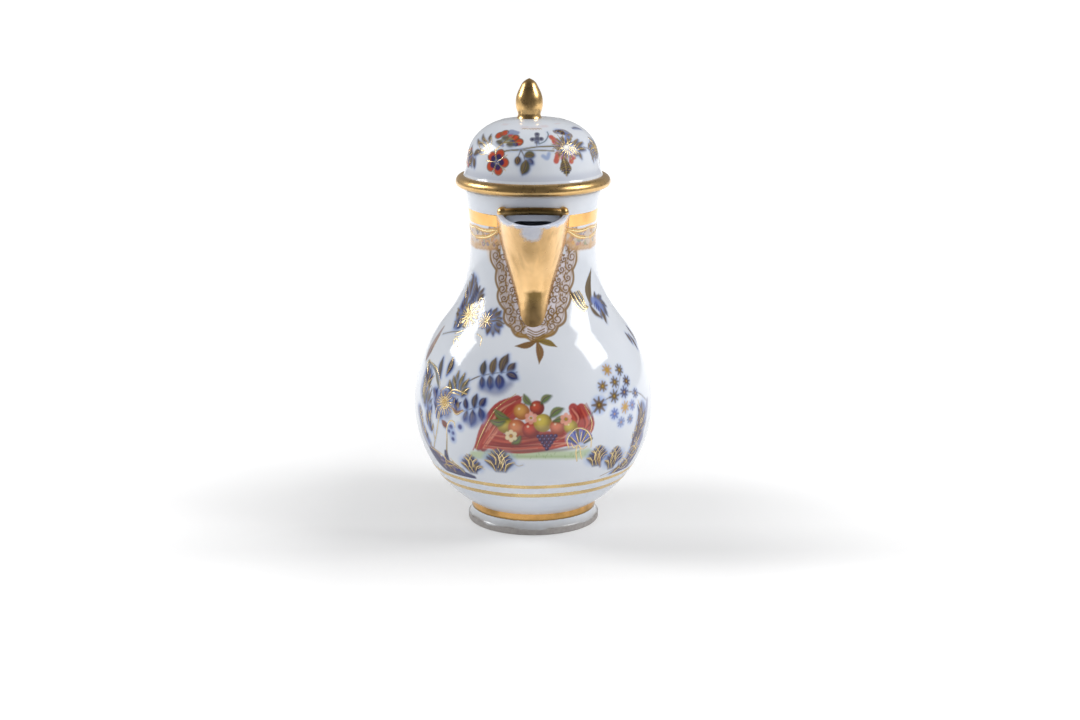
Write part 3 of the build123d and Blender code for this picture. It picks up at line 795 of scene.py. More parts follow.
    # Stems, a hooked gold stalk and berries below it
    hand.leaf((-43.7, 38.7), (-47.8, 40.1), 1.7, 0.1, "8A3A2C", BROWN, 0.3)
    hand.gild([(-47.5, 28.2), (-45.2, 33.8), (-44.4, 38.2), (-42.3, 40.5), (-39.7, 40.5), (-39.2, 38.9)],
              0.42)
    hand.brush([(-47.8, 27.8, 0.4), (-45.2, 33.8, 0.25), (-44.4, 37.9, 0.2)], "6F6152", 0.3, 0.85)
    for centre, half in (((-41.7, 38.6), 1.1), ((-40.6, 36.7), 0.9), ((-36.1, 39.3), 1.1),
                         ((-40.9, 34.7), 0.9), ((-43.1, 37.1), 0.7)):
        hand.dot(centre, half + 0.5, HALO, 1.6, 0.75)
        hand.dot(centre, half * 0.75, "3B3C80", 0.7, 0.9)
    hand.stem([(-57.9, 29.4), (-53.6, 33.9), (-50.9, 38.3), (-49.4, 42.5)], 0.45, OLIVE, True)
    hand.stem([(-55.1, 32.3), (-55.5, 36.3), (-56.8, 40.1)], 0.45, OLIVE, True)
    hand.hatched([(-57.8, 41.9), (-59.8, 38.9), (-57.3, 36.3)], 3.6, 20, 0, "4C4858", 0.15)
    # The rock along the bottom
    hand.brush([(-72.3, 40.5, 1.2), (-68.4, 36.1, 1.8), (-66.3, 31.8, 2.0), (-61.3, 28.1, 1.8),
                (-53.7, 24.7, 1.2)], "8F8C9A", 1.0, 0.8)
    hand.hatched([(-69.7, 40.6), (-66.4, 35.8), (-62.1, 30.8)], 3.2, 30, 10, "6B6470", 0.2)
    hand.brush([(-62.8, 27.8, 1.0), (-56.2, 25.1, 2.5), (-49.1, 23.3, 3.0), (-40.8, 22.2, 2.2),
                (-32.8, 22.1, 0.8)], "33325F", 0.9, 0.92)
    for start, end, tint in (((-60.4, 29), (-54.5, 27.8), "8A6E66"), ((-57.4, 27.7), (-52.8, 25.6), "6E5F6C"),
                             ((-46.6, 26.2), (-42.6, 24.6), "A8977A"), ((-44.1, 25.5), (-38.8, 24), "8F8574"),
                             ((-51.7, 26.9), (-50.8, 24.1), "4A4A86"),
                             ((-52.3, 22.8), (-45.6, 22), "57506A")):
        hand.brush([(*start, 0.5), (*end, 0.8)], tint, 0.6, 0.85)
    hand.brush([(-47.7, 29.3, 0.8), (-48.6, 26.6, 1.2)], "33325F", 0.7, 0.9)
    for number in range(26):
        start = hand.spot((-48.3, 24.1), hand.between(-5.0, 3.8), hand.between(-1.4, 1.9))
        end = hand.toward(start, hand.between(60, 160), hand.between(0.8, 1.8))
        hand.brush([(*start, 0.28), (*end, 0.42)], ("B79E70", "6B5A66", "8C7C92", "4C4E92", "A5866A",
                                                    "2A2A54")[number % 6], 0.35, 0.75)
    hand.gild([(-53.1, 28.4), (-49.8, 27.2), (-50.4, 24.5), (-44.7, 24.7)], 0.24)
    hand.gild([(-61.8, 28.7), (-55.9, 28.3), (-51.4, 27.3), (-48.3, 26), (-42.3, 25), (-38.2, 23)], 0.26)
    hand.gild([(-45.8, 27.4), (-43, 26), (-39, 24.7)], 0.24)
    for centre, wide, high, strokes in (((-32.2, 27), 7.4, 7.0, 11), ((-16.5, 29.5), 9.0, 8.4, 13)):
        hand.bush(centre, wide, high, strokes)
    hand.stem([(-10.1, 29.4), (-7.3, 28.1), (-4.8, 28.5)], 0.25, "B9A98C")
    hand.stem([(-31.3, 20.3), (-21.5, 20.5), (-12.3, 21.1)], 0.25, "B9A98C")


def paint_right_garden(hand):
    """A bird, a fly, star flowers and a tree on a bank, right of the spout."""
    hand.brush([(30.2, 81.3, 0.4), (36.4, 77.1, 1.3), (42.6, 74.4, 0.6)], HALO, 1.2, 0.5)
    hand.brush([(30.2, 81.3, 0.2), (36.4, 77.1, 0.9), (42, 74.7, 0.4)], BROWN, 0.5, 0.8)
    for offset in range(7):
        line = [hand.spot((31.3, 79.4), offset * 0.6, offset * 0.1),
                hand.spot((35.2, 75.7), offset * 0.52, offset * 0.42),
                hand.spot((40.1, 73.9), offset * 0.22, offset * 0.36), (45.2, 74.8)]
        if offset % 2:
            hand.trace(line, 0.24, "3A2C26", 0.25, 0.9)
        else:
            hand.gild(line, 0.52)
    hand.brush([(49.2, 76.1, 0.5), (52.7, 81.1, 1.1), (61.7, 86, 0.05)], HALO, 1.4, 0.5)
    hand.brush([(49.9, 75.7, 0.8), (51.9, 80.2, 1.5), (61.7, 86, 0.05)], OLIVE, 0.3, 0.95)
    hand.brush([(50, 76.6, 0.15), (53.8, 80.7, 0.2), (60.8, 84.8, 0.05)], BROWN, 0.25, 0.8)
    hand.brush([(57.3, 76.2, 1.8), (60.5, 73.4, 2.0)], HALO, 2.0, 0.7)
    for number in range(13):
        angle = -10 + number * 17
        base = hand.toward((58.4, 74.5), angle, 1.0)
        tip = hand.toward((58.4, 74.5), angle + 12, (4.5, 3.4, 4.0)[number % 3])
        hand.leaf(base, tip, 1.2, 0.1, ("57503E", "3F4A80", "6A614A")[number % 3], DEEP_BLUE, 0.15)
    hand.brush([(54.2, 76.1, 1.4), (57.8, 74.3, 2.1), (58.6, 72.7, 1.2)], "7284BC", 1.2, 0.85)
    hand.brush([(55.7, 75.3, 0.7), (57.4, 73.4, 0.9)], "46569E", 1.1, 0.8)
    for number in range(4):
        start = hand.spot((51.7, 73.8), 0.75 * number, -0.7 * number + 0.5)
        hand.brush([(*start, 0.12), (*hand.spot(start, 0.9, 1.3), 0.12)], "2E2C4E", 0.25, 0.8)
    hand.leaf((58.6, 73.3), (56.4, 69.5), 1.1, 0.05, OLIVE, BROWN, 0.4)
    hand.leaf((48, 75.3), (54, 71.2), 1.2, -0.1, OLIVE, BROWN, 0.4)
    hand.leaves((((80.3, 65.9), (80.5, 62)), ((74.1, 64), (76.3, 59.3)), ((70.7, 64.8), (72.2, 61.4)),
                 ((83.8, 63.8), (80.2, 60.7))), 1.3, 0.05, OLIVE, BLUE, 0.55)
    hand.stem([(27.4, 43.3), (30.2, 45.6), (36.3, 47.9), (42.1, 48.5), (50.1, 48.8), (61, 47), (69.6, 43.3)],
              0.4, "8D8478")
    hand.stem([(42.1, 48.5), (45.5, 50.6), (49.4, 55.1)], 0.25, "8D8478")
    for centre, radius, tint in (((40.7, 56.7), 1.25, "B8924C"), ((49.1, 55.8), 1.2, OLIVE),
                                 ((35.9, 52.2), 1.25, "80683C"), ((43.9, 52.7), 1.25, OLIVE),
                                 ((52.4, 52), 1.2, BROWN), ((42.1, 48.5), 1.4, OLIVE),
                                 ((49.3, 48.9), 1.3, "55506A"), ((58.1, 47.4), 1.1, "55506A"),
                                 ((48.8, 44.2), 1.35, "C39A4C"), ((54.3, 44.1), 1.1, "7E83B4"),
                                 ((41.4, 42.9), 1.25, "5E6FB0"), ((45.6, 39.7), 1.1, "8791B8"),
                                 ((52.3, 39.8), 1.0, "7B86A8"), ((32.6, 46.7), 1.9, "6E5634")):
        hand.star(centre, radius, tint)
    hand.brush([(18.8, 37.2, 2.3), (24.3, 36.8, 2.4)], "A9BADF", 1.6, 0.9)
    for number in range(11):
        tip = hand.toward((22.5, 34.3), -62 + number * 12.5, 5.6 - 0.25 * abs(number - 5))
        hand.brush([(*hand.toward((22.5, 34.3), -62 + number * 12.5, 1.6), 0.25), (*tip, 0.5)],
                   ("4A4E9A", "5D5848", "6D74B8")[number % 3], 0.35, 0.92)
    for number in range(5):
        hand.gild([hand.toward((22.5, 34.3), -50 + number * 24, 1.4),
                   hand.toward((22.5, 34.3), -44 + number * 24, 4.6)], 0.3)
    hand.gild([(17, 33.9), (15.9, 36.4), (17.3, 38.6), (20.7, 40.3), (25.2, 39.3), (27.9, 36.5),
               (28.3, 33.4)], 0.4)
    hand.gild([(17.9, 35.6), (19.5, 33.8), (21.4, 34.7), (23.6, 33.1), (26.1, 33.9)], 0.32)
    hand.gild([(20.9, 34.4), (20.7, 32), (21.6, 29.1)], 0.4)
    hand.gild([(22.5, 33.6), (23.3, 31.1), (24.1, 29.6)], 0.3)
    hand.bush((32.9, 29.8), 7.4, 7.2, 12)
    hand.leaf((35.7, 25.9), (32, 31.3), 1.1, 0.0, "C39A4C", BLUE, 0)
    hand.bush((44.1, 27.7), 7.2, 8.2, 12)
    hand.brush([(71.2, 43, 0.8), (67.8, 38.6, 2.0), (64.3, 34.2, 3.0), (61.3, 27.8, 3.0), (58.2, 23.3, 2.4)],
               "8183A6", 1.4, 0.85)
    hand.hatched([(63.8, 41), (62.3, 35.8), (60.7, 30.7), (58.3, 24)], 6.6, 80, 20, "6F6672", 0.2)
    hand.brush([(66.4, 31, 2.0), (61, 26, 3.2), (53.1, 22.7, 2.2), (43.9, 20.3, 0.8)], "71749E", 1.2, 0.85)
    hand.hatched([(61.3, 27.8), (55.6, 23.7), (47.7, 21.3)], 4.6, 46, 40, "5E5A66", 0.2)
    hand.gild([(55.3, 28.8), (58.4, 29.7), (64.3, 27.2), (61, 26), (55.2, 27.7)], 0.24)
    hand.gild([(48.4, 25.6), (52.8, 26.3), (58.9, 23.5), (55.5, 22.3), (49.4, 23.6)], 0.24)
    for number in range(16):
        centre = hand.spot((61.6, 38.6), hand.between(-2.5, 3.5) - number * 0.35, -number * 1.0)
        curl = [hand.toward(centre, angle, 0.9 - angle / 700) for angle in range(0, 361, 60)]
        hand.gild(curl, 0.18, number % 2 == 0)
    hand.brush([(44.4, 19.8, 0.5), (51.4, 21.1, 1.3), (60.4, 22.5, 1.5), (65.6, 26.3, 1.0)],
               "55527C", 0.8, 0.9)
    hand.gild([(38.1, 21.8), (45.9, 23), (53.2, 24.1), (58.3, 26.5)], 0.26, True)


def paint_fruit_piece(hand):
    """A heap of fruit and flowers on a red cloth, on a strip of grass, under the spout."""
    grass = [(-29.4, 30.5), (-20.7, 31.3), (-10.8, 31.9), (0, 32.1), (10.9, 31.9), (19.7, 31.4), (27, 31.5)]
    hand.trace(grass, 1.5, "B7C79C", 1.6, 0.85)
    hand.brush([(*hand.spot(place, 0, -0.6), 0.4) for place in grass[1:-1]], "9DB383", 0.9, 0.6)
    for number in range(26):
        root = hand.spot(grass[3], hand.between(-17, 17), hand.between(-1.6, 0.2))
        hand.brush([(*root, 0.12), (*hand.toward(root, hand.between(-30, 30), 0.9), 0.05)],
                   "7F9A62", 0.3, 0.6)
    folds = (((-26.7, 33.6), (-21.6, 39.3), (-15.4, 46), (-7.5, 49.7)),
             ((-24.1, 33.4), (-18.7, 38.5), (-13, 44.2), (-6, 47.5)),
             ((-22.4, 34.9), (-9.7, 35), (3.3, 35.8), (15.4, 36.1)),
             ((-20.2, 37.1), (-9.7, 36.6), (2.3, 37.5), (13.5, 37.8)),
             ((12.6, 35.9), (20.7, 37.4), (25.7, 41.2), (23, 46.5)),
             ((13.9, 38.1), (18.7, 39.8), (21.7, 43.5), (19, 46.8)))
    for line in folds:
        hand.trace(line, (1.2, 2.6, 2.7, 1.5), "A8403A", 0.5, 0.96)
    for number in range(84):
        line = folds[number % 6]
        by = hand.between(-2.1, 2.1)
        begin = hand.chance.choice((0, 1))
        sideways = by * (0.4 if number % 6 in (2, 3) else 1)
        run = [hand.spot(place, sideways, by * 0.7) for place in line[begin : begin + 3]]
        tint = ("7A2827", "C65E4A", "DE9A82", "8F3430", "B9503F")[number % 5]
        hand.trace(run, (0.12, 0.34, 0.1), tint, 0.5, 0.75)
    for line in (((-27.9, 32.8), (-23.1, 39.8), (-17, 46.9), (-8.1, 51.5)),
                 ((26.8, 37.2), (28.3, 41.7), (24.6, 47.6))):
        hand.gild(line, 0.22)
    hand.brush([(-26.8, 32.5, 0.4), (-6, 33.4, 0.5), (12.7, 33.5, 0.5), (24.5, 34.1, 0.3)],
               "6B5450", 1.0, 0.6)
    hand.brush([(-12.4, 39.5, 1.2), (-0.4, 38.1, 1.6), (12.5, 38.8, 1.2)], "7A2C28", 1.6, 0.5)
    fruits = (((-12.9, 41.7), 2.6, "C9B552", "8F7A30"), ((-7.3, 40.9), 2.8, "D88A5A", "A04B34"),
              ((-0.9, 40.4), 2.7, "C8503A", "7C2A28"), ((4.6, 42.6), 2.9, "D6C15E", "97803A"),
              ((11.6, 41.1), 2.6, "D98062", "97432F"), ((-5.1, 46), 2.5, "D9A45C", "A66233"),
              ((1.9, 47.3), 2.3, "C4573F", "7E2D28"), ((17.7, 40.8), 2.2, "C9B552", "8F7A30"))
    for centre, radius, light, dark in fruits:
        hand.dot(centre, radius, dark, 0.35, 0.97)
        lit = hand.spot(centre, -radius * 0.22, radius * 0.22)
        hand.dot(lit, radius * 0.62, light, radius * 0.9, 0.95)
        glint = hand.spot(centre, -radius * 0.35, radius * 0.4)
        hand.dot(glint, radius * 0.12, "F3E6C8", 0.5, 0.8)
    for row, count in ((0, 5), (1, 4), (2, 3), (3, 2), (4, 1)):
        for number in range(count):
            grape = hand.spot((6.5, 37.1), (number - (count - 1) / 2) * 1.35, -row * 1.05 + 1.2)
            hand.dot(grape, 0.68, "3B2A4E", 0.25, 0.96)
            glint = hand.spot(grape, -0.2, 0.2)
            hand.dot(glint, 0.16, "9A8CC0", 0.3, 0.8)
    for start, end, width in (((-11.5, 44), (-18.4, 46.5), 2.0), ((-12.9, 43), (-20.2, 42.9), 1.8),
                              ((-0.9, 48.5), (-4.3, 51.5), 1.7), ((3.8, 48.8), (8.6, 51.1), 1.7),
                              ((7.9, 44.4), (14.1, 47), 2.0), ((9.3, 43.1), (17.3, 43.1), 1.8),
                              ((-5.9, 38.4), (-9.7, 36), 1.6)):
        hand.leaf(start, end, width, 0.12, "6C7F4A", "3F5136", 0, 0, True)
    for centre, tint in (((-0.9, 44.2), "E6A18C"), ((-10.1, 38.3), "E9D9B0"), ((15.4, 43.5), "E6A18C")):
        for number in range(6):
            tip = hand.toward(centre, number * 60, 1.3)
            hand.dot(tip, 0.72, tint, 0.4, 0.9)
        hand.dot(centre, 0.5, "B88732", 0.3, 0.95)


def paint_spout_lace(hand):
    """A scalloped border of scrolls that follows the spout down to three pendant leaves."""
    left = [(-42.6, 99.9), (-43.1, 94.7), (-39.4, 90.7), (-34.1, 86.8), (-30.9, 82.8), (-28.3, 79),
            (-21.9, 75), (-18, 71.7), (-10.8, 68.8), (-3.7, 67.8), (1.8, 67)]
    right = [(42.5, 99.9), (43, 94.7), (40.4, 90.6), (37.2, 86.7), (33.8, 82.7), (30.1, 78.9), (25.1, 74.9),
             (20.2, 71.6), (13.6, 69.3), (7.4, 67.8), (1.8, 67)]
    for side, lean in ((left, 1), (right, -1)):
        path = smoothed(side, 6)
        ways = []
        for number, place in enumerate(path):
            ends = [path[max(number - 1, 0)], path[min(number + 1, len(path) - 1)]]
            before, after = hand.surface.flat(ends, place[0])
            run = (after - before) / np.hypot(*(after - before))
            ways.append((-run[1] * lean, run[0] * lean))
        count = len(path)
        scallops = [abs(sin(number * pi / 9)) for number in range(count)]

        def inward(number, by):
            """The place some mm in from a point of the border's outer line."""
            return hand.spot(path[number], ways[number][0] * by, ways[number][1] * by)

        def inset(by, first=0, last=count):
            """The border's outer line, or a stretch of it, moved in by some mm."""
            return [inward(number, by) for number in range(first, last)]

        hand.trace(inset(-0.2, 2, 14), 1.0, "DDB88E", 2.2, 0.6, True)
        for by, half, end in ((2.0, 2.1, 0), (4.2, 1.9, 6), (5.8, 1.4, 9)):
            hand.trace(inset(by, 0, count - end), half, LILAC, 0.6, 0.9, True)
        # Painted shade: this band is darker on the left of the spout than on the right
        tint, strength = ("A08C7C", 0.55) if lean > 0 else ("B7A497", 0.4)
        hand.trace(inset(1.9), 1.5, tint, 1.6, strength, True)
        for number in range(2, count - 3, 5):
            for by, scale in ((hand.between(1.35, 1.8), 1.0), (hand.between(4.0, 4.8), 0.85)):
                if by > 3 and number > count - 14:
                    continue
                size = hand.between(1.1, 1.6) * scale
                centre = inward(min(number + (2 if by > 3 else 0), count - 1), by)
                spin = lean if hand.chance.random() < 0.6 else -lean
                begin = hand.between(40, 130) * lean
                steps = range(12)
                curl = [hand.toward(centre, spin * step * 40 + begin, size - step * 0.085) for step in steps]
                hand.trace(curl, 0.23, "7D6140", 0.24, 0.92)
                tail = [curl[0], hand.toward(centre, begin - spin * 40, size * 1.25),
                        hand.toward(centre, begin - spin * 75, size * 1.7)]
                hand.trace(tail, 0.25, "8A6B42", 0.25, 0.92)
                for angle in (-60, 10, 80):
                    start = hand.toward(centre, angle + begin, size + 0.15)
                    hand.brush([(*start, 0.3), (*hand.toward(start, angle + begin + 50, 0.8), 0.08)],
                               "86693C", 0.24, 0.9)
            depths = enumerate((3.2, 2.6, 2.9, 3.6, 3.4))
            wave = [inward(min(number + ahead, count - 1), by) for ahead, by in depths]
            hand.trace(wave, 0.16, "A08462", 0.25, 0.85)
        for by, swing, half, tint, soft, strength in (
            (0.2, 0.85, 0.42, "8A6C42", 0.4, 0.92), (0.75, 0.4, 0.14, "9A7E5A", 0.3, 0.8),
        ):
            edge = [inward(number, by - swing * scallop) for number, scallop in enumerate(scallops)]
            hand.trace(edge, half, tint, soft, strength, True)
        hand.trace(inset(0.0, count - 12), 0.7, "977640", 0.4, 0.85, True)
    hand.brush([(-3.2, 69.7, 1.1), (1.9, 69.2, 1.5), (7.1, 69.7, 1.1)], LILAC, 0.8, 0.9)
    for row in range(4):
        start, end = hand.spot((2, 70), -2.6, -row * 0.85), hand.spot((2, 70), 2.6, -row * 0.85)
        hand.trace(hand.bowed(start, end, -0.22), 0.2, "83673E", 0.22, 0.95)
    root = (2.4, 66.7)
    for tip, width, tint in (((-10.4, 65.2), 2.2, "7E5C34"), ((13.9, 64.9), 2.2, "897336"),
                             ((3.2, 60.3), 2.4, "83603A")):
        middle = hand.bowed(root, tip, 0.08)[1]
        hand.brush([(*root, 0.25), (*middle, width / 2), (*tip, 0.06)], tint, 0.3, 0.97)
        hand.gild([root, middle, tip], 0.24, True)


def paint_neck_straps(hand):
    """Straps that fan out under the gold band with scrollwork between them, all round the neck."""
    for number in range(5):
        start = 33 + number * 58.8
        for side in (1, -1):
            root = start if side > 0 else start + 58.8
            reach = 29.4 * side
            fan = [(root, 99.7), (root + reach * 0.45, 98.8), (root + reach, 99.2)]
            low = [(root, 99.3), (root + reach * 0.4, 97.0), (root + reach, 96.0)]
            hem = [(root, 95.6), (root + reach * 0.3, 93.9), (root + reach, 93.3)]
            hand.brush([(root, 97.6, 2.4), (root + reach * 0.5, 96.6, 2.9), (root + reach, 96.4, 3.0)],
                       "CBB8A6", 0.9, 0.85)
            hand.trace(hem, 1.0, "C79C66", 1.5, 0.8)
            for line in (fan, low):
                hand.trace(line, 0.62, "C08A4A", 0.35, 0.9)
                hand.gild(line, 0.95)
            for number in range(46):
                share = hand.chance.random()
                centre = (root + reach * share, hand.between(94.6 - 0.8 * share, 98.6))
                spin, size = hand.chance.choice((-1, 1)), hand.between(0.35, 0.75)
                turns = range(0, 301, 60)
                curl = [hand.toward(centre, spin * angle, size * (1 - angle / 600)) for angle in turns]
                tint = ("B98A4E", "7E7492", "C48F78", "8C6A48", "8B987E", "D9A55E")[number % 6]
                hand.trace(curl, 0.17, tint, 0.2, 0.9)
            for line in (fan, low):
                hand.trace(line, 0.6, "DCA75E", 0.3, 0.95)
                hand.gild(line, 0.34)
            ruffle = []
            for step in range(19):
                dip = 1.3 * (step / 18) ** 0.5 + 0.3 * abs(sin(step * pi / 3))
                ruffle.append((root + reach * step / 18, 94.0 - dip))
            hand.trace(ruffle, 0.25, "B98A5A", 0.4, 0.6, True)


def paint_back(hand):
    """More of the same garden round the sides and the back, where the photograph doesn't reach."""
    for turn in (98, 262):
        hand.stem([(turn, 26), (turn + 3, 38), (turn - 2, 50), (turn + 4, 62)], 0.7, OLIVE, True)
        for height, side in ((34, 1), (40, -1), (46, 1), (52, -1), (57, 1), (62, -1)):
            base = (turn, height)
            for angle, length in ((55, 6.5), (80, 5.5), (30, 5.5)):
                hand.leaf(base, hand.toward(base, side * angle, length), 1.5, 0.1, OLIVE, BLUE, 0.5)
        away = 1 if turn < 180 else -1
        hand.bloom((turn + 10 * away, 47), 3.8, 18, 0.4)
        hand.bloom((turn + 9 * away, 60), 3.4, 16, 0.35)
        hand.hatched([(turn + 8 * away, 38), (turn + 12 * away, 42)], 4, 14, 10)
        hand.rock([(turn - 12, 25), (turn, 26.5), (turn + 12, 24.5)], 2.8)
    for turn in (130, 150, 212, 232):
        hand.bush((turn, 27), 7, 6.5, 11)
    for turn, way in ((141, 1), (219, -1)):
        heart = (turn, 57)
        hand.stem([(turn - 22 * way, 53), (turn - 12 * way, 52), (turn - 5 * way, 54), heart], 0.35)
        for number in range(12):
            spot = hand.toward(heart, number * 137.5, 2.6 * number**0.5)
            hand.star(spot, 1.2, (OLIVE, "B8924C", "5E6FB0")[number % 3])
        branch = [hand.toward((turn - 20 * way, 38), 75 * way, number * 3.6) for number in range(5)]
        hand.stem(branch, 0.4)
        for number, base in enumerate(branch):
            for side in (25, 130):
                hand.leaf(base, hand.toward(base, side * way, 4.6 - 0.3 * number),
                          2.1, 0.06, OLIVE, DEEP_BLUE, 0.7)


# The lid's painting

def five_petals(hand, centre, radius):
    """A flower with five red petals, a blue inner ring and a gold star."""
    for number in range(5):
        angle = 72 * number + 18
        tip = hand.toward(centre, angle, radius * 0.66)
        hand.dot(tip, radius * 0.4, "5A3A34", 0.3, 0.75)
        hand.dot(tip, radius * 0.33, RED, 0.3, 0.95)
        near = hand.toward(centre, angle, radius * 0.4)
        hand.dot(near, radius * 0.25, DEEP_BLUE, 0.3, 0.92)
        hand.gild([centre, hand.toward(centre, angle + 36, radius * 0.6),
                   hand.toward(centre, angle + 36, radius * 1.02)], 0.26)
        hand.gild([hand.toward(centre, angle - 30, radius * 0.85), hand.toward(centre, angle, radius * 1.04),
                   hand.toward(centre, angle + 30, radius * 0.85)], 0.16, True)
    hand.dot(centre, radius * 0.16, BLUE, 0.3, 0.9)


def paint_lid_front(hand):
    """A flowering branch across the front of the dome."""
    # Painted shade: a soft grey-blue band along the foot of the dome's front, beside the rim
    hand.brush([(turn, 116.2, 1.2) for turn in range(-100, 101, 10)], "B5BBCB", 2.4, 0.55, True)
    # Pale pink touches round the collar's foot: partly pale pink painting, partly a painted reflection of the
    # gilt collar
    for place, half in (((-14.8, 131.2), 0.7), ((0, 131), 0.9), ((14.1, 131.5), 0.7), ((-52.6, 131.6), 0.5),
                        ((42.9, 131.9), 0.5)):
        hand.brush([(*place, half), (*hand.spot(place, 1.2, 0.1), half)], "D3A9A6", 1.8, 0.35)
    for number in range(7):
        place = hand.spot((-1.4, 130.8), -2.7 + number * 0.9, 0.1 * (number % 2))
        hand.gild(hand.ring(place, range(-90, 91, 45), 0.4), 0.2)
    hand.stem([(-34.3, 123.3), (-24.9, 124.7), (-11.9, 125.3), (3.8, 126.1), (19.2, 126.2)], 0.55, "7D7048")
    hand.stem([(-19.3, 125.1), (-6.3, 125.1), (6.4, 125.1), (19.3, 124.8)], 0.4, "7D7048")
    for petal, half in (((-39.6, 128.9), 1.25), ((-34.5, 129.6), 1.2), ((-19.5, 128.4), 1.35),
                        ((-13.9, 127.4), 1.2), ((-25, 128.9), 1.0)):
        hand.dot(petal, half + 0.32, "5A4334", 0.3, 0.8)
        hand.dot(petal, half, RED, 0.35, 0.95)
    hand.brush([(-30.8, 127.7, 1.2), (-22.6, 127.6, 1.0)], "8C8A4A", 0.5, 0.85)
    hand.brush([(-21.1, 127.3, 0.9), (-16.3, 126.6, 0.7)], DEEP_BLUE, 0.4, 0.9)
    hand.brush([(-32.5, 126.9, 0.8), (-29.3, 126.1, 0.5)], "8D93B8", 0.5, 0.8)
    hand.brush([(-27.3, 130, 1.2), (-19.1, 129.8, 0.9)], "7F8BAE", 0.6, 0.85)
    for petal in ((-39.6, 128.9), (-34.5, 129.6), (-19.5, 128.4), (-13.9, 127.4)):
        hand.gild(hand.ring(petal, range(-150, 151, 60), 1.3), 0.18, True)
    hand.leaves((((-38.3, 127.3), (-31, 126.6)), ((-25.7, 126.7), (-19.3, 126.5)),
                 ((-34, 128.5), (-25.7, 128.1))), 1.3, 0.1, "6F6B50", "4A4A5C", 0.2)
    hand.gild([(-36.2, 124.4), (-32.6, 126), (-27.4, 127.8), (-21.9, 129.2)], 0.36)
    hand.gild([(-30.2, 126.9), (-22.2, 127.3), (-11.7, 127.2)], 0.22)
    hand.gild([(-38.7, 127.8), (-34.8, 128.8), (-28, 129.2)], 0.2, True)
    five_petals(hand, (-32.4, 121.2), 4.1)
    hand.stem([(-10.9, 125.2), (-12.3, 123.7), (-13.9, 122.5)], 0.35)
    hand.stem([(-10.9, 125.2), (-7.8, 123.4), (-6.7, 121)], 0.35)
    hand.leaf((-13.1, 123.1), (-13.6, 121), 1.8, 0.05, BROWN, DEEP_BLUE, 0.3)
    hand.leaf((-6.9, 123.4), (1, 123.8), 2.1, 0.1, "62603E", DEEP_BLUE, 0.4)
    hand.leaf((-5.1, 121.9), (0.1, 121.3), 1.5, 0.1, DEEP_BLUE, BLUE, 0.3)
    hand.leaf((-5.9, 122.2), (-9, 118), 2.5, 0.06, "5C5838", DEEP_BLUE, 0.45)
    hand.ribs((((-13.1, 123.1), (-13.6, 121)), ((-6.9, 123.4), (1, 123.8)), ((-5.9, 122.2), (-9, 118))),
              0.16, 0.16, True)
    for tip in ((-0.5, 128.2), (4.7, 129.6), (8.5, 128.3), (4, 127.5)):
        hand.brush([(4.3, 128.4, 0.5), (*tip, 0.85)], "5E5F72", 0.4, 0.88)
        hand.dot(tip, 0.35, "3A3550", 0.4, 0.9)
    hand.stem([(3.8, 126.4), (3.1, 127.5)], 0.25)
    hand.stem([(5.8, 126.9), (12.3, 127.7), (17.3, 129.3), (17.4, 130.1)], 0.4, "6F7F86")
    hand.brush([(8.8, 123.4, 0.6), (12.3, 122.8, 0.7), (14.2, 124, 0.6)], "8FA3CC", 0.8, 0.8)
    hand.brush([(28.7, 130, 1.0), (38.2, 129.8, 1.5), (43.8, 128.8, 1.1)], "7C6650", 0.5, 0.9)
    hand.hatched([(32.8, 130.2), (40.6, 129.2)], 1.8, 10, 60, BROWN, 0.3)
    for start, end in (((22.7, 127.6), (20, 128.7)), ((22.6, 123.9), (20.2, 121.8)),
                       ((35.6, 123.5), (34.6, 121.4))):
        hand.brush([(*start, 0.9), (*end, 0.9)], RED, 0.5, 0.9)
    for angle, tint in ((-150, RED), (150, RED), (-60, RED), (30, "5B6FA8"), (90, "5B6FA8")):
        hand.brush([(*hand.toward((32.3, 125.7), angle, 2.6), 1.2),
                    (*hand.toward((32.3, 125.7), angle, 4.0), 0.8)], tint, 0.5, 0.9)
    hand.bloom((32.3, 125.7), 3.8, 16, 0)
    for number in range(18):
        angle = number * 20 + 6
        hand.gild([hand.toward((32.3, 125.7), angle, 2.6), hand.toward((32.3, 125.7), angle, 5.0)], 0.2)
    hand.brush([(26.8, 121.9, 0.5), (29, 119.7, 0.8), (29.2, 117.3, 0.4)], "3E3A52", 0.8, 0.8)
    for number in range(6):
        base = hand.spot((27.9, 122.2), number * 0.1, -number * 0.85)
        for side in (-1, 1):
            tip = hand.toward(base, side * (135 - 8 * number), (1.3, 2.0, 2.3, 2.2, 1.8, 1.1)[number])
            hand.brush([(*base, 0.3), (*hand.bowed(base, tip, 0.1 * side)[1], 0.5), (*tip, 0.1)],
                       ("2C2B4C", "45402F")[number % 2], 0.3, 0.95)
            hand.brush([(*hand.spot(place, 0, 0.3), 0.09) for place in (base, tip)], "C7A562", 0.16, 0.75)
    hand.gild([(27, 122.5), (28.5, 119.8), (28.6, 117)], 0.3)
    hand.leaves((((41.4, 125.5), (50.6, 127.5)), ((43.3, 125.1), (55.1, 126.5)),
                 ((43.6, 124.5), (54.6, 124.4)), ((41.9, 124.3), (46.4, 122)), ((40.1, 124.6), (41, 123.1))),
                1.0, 0.08, OLIVE, DEEP_BLUE, 0.35, 1)
    hand.stem([(53.1, 125.1), (60.9, 124.2)], 0.25)
    hand.leaves((((60, 124.5), (69, 125.7)), ((60.9, 124.2), (69.7, 122.8)), ((62, 123.8), (68.6, 120.7)),
                 ((61.3, 123.2), (63.7, 120.3))), 0.8, 0.08, OLIVE, DEEP_BLUE, 0.35, 1)
    hand.leaves((((-50.5, 126.7), (-67.4, 128.5)), ((-55.2, 125.9), (-69.7, 126.9)),
                 ((-47, 127.1), (-52.5, 128.9)), ((-52, 123.9), (-60.3, 123.9))),
                1.0, 0.08, OLIVE, "8C8F9E", 0.25)
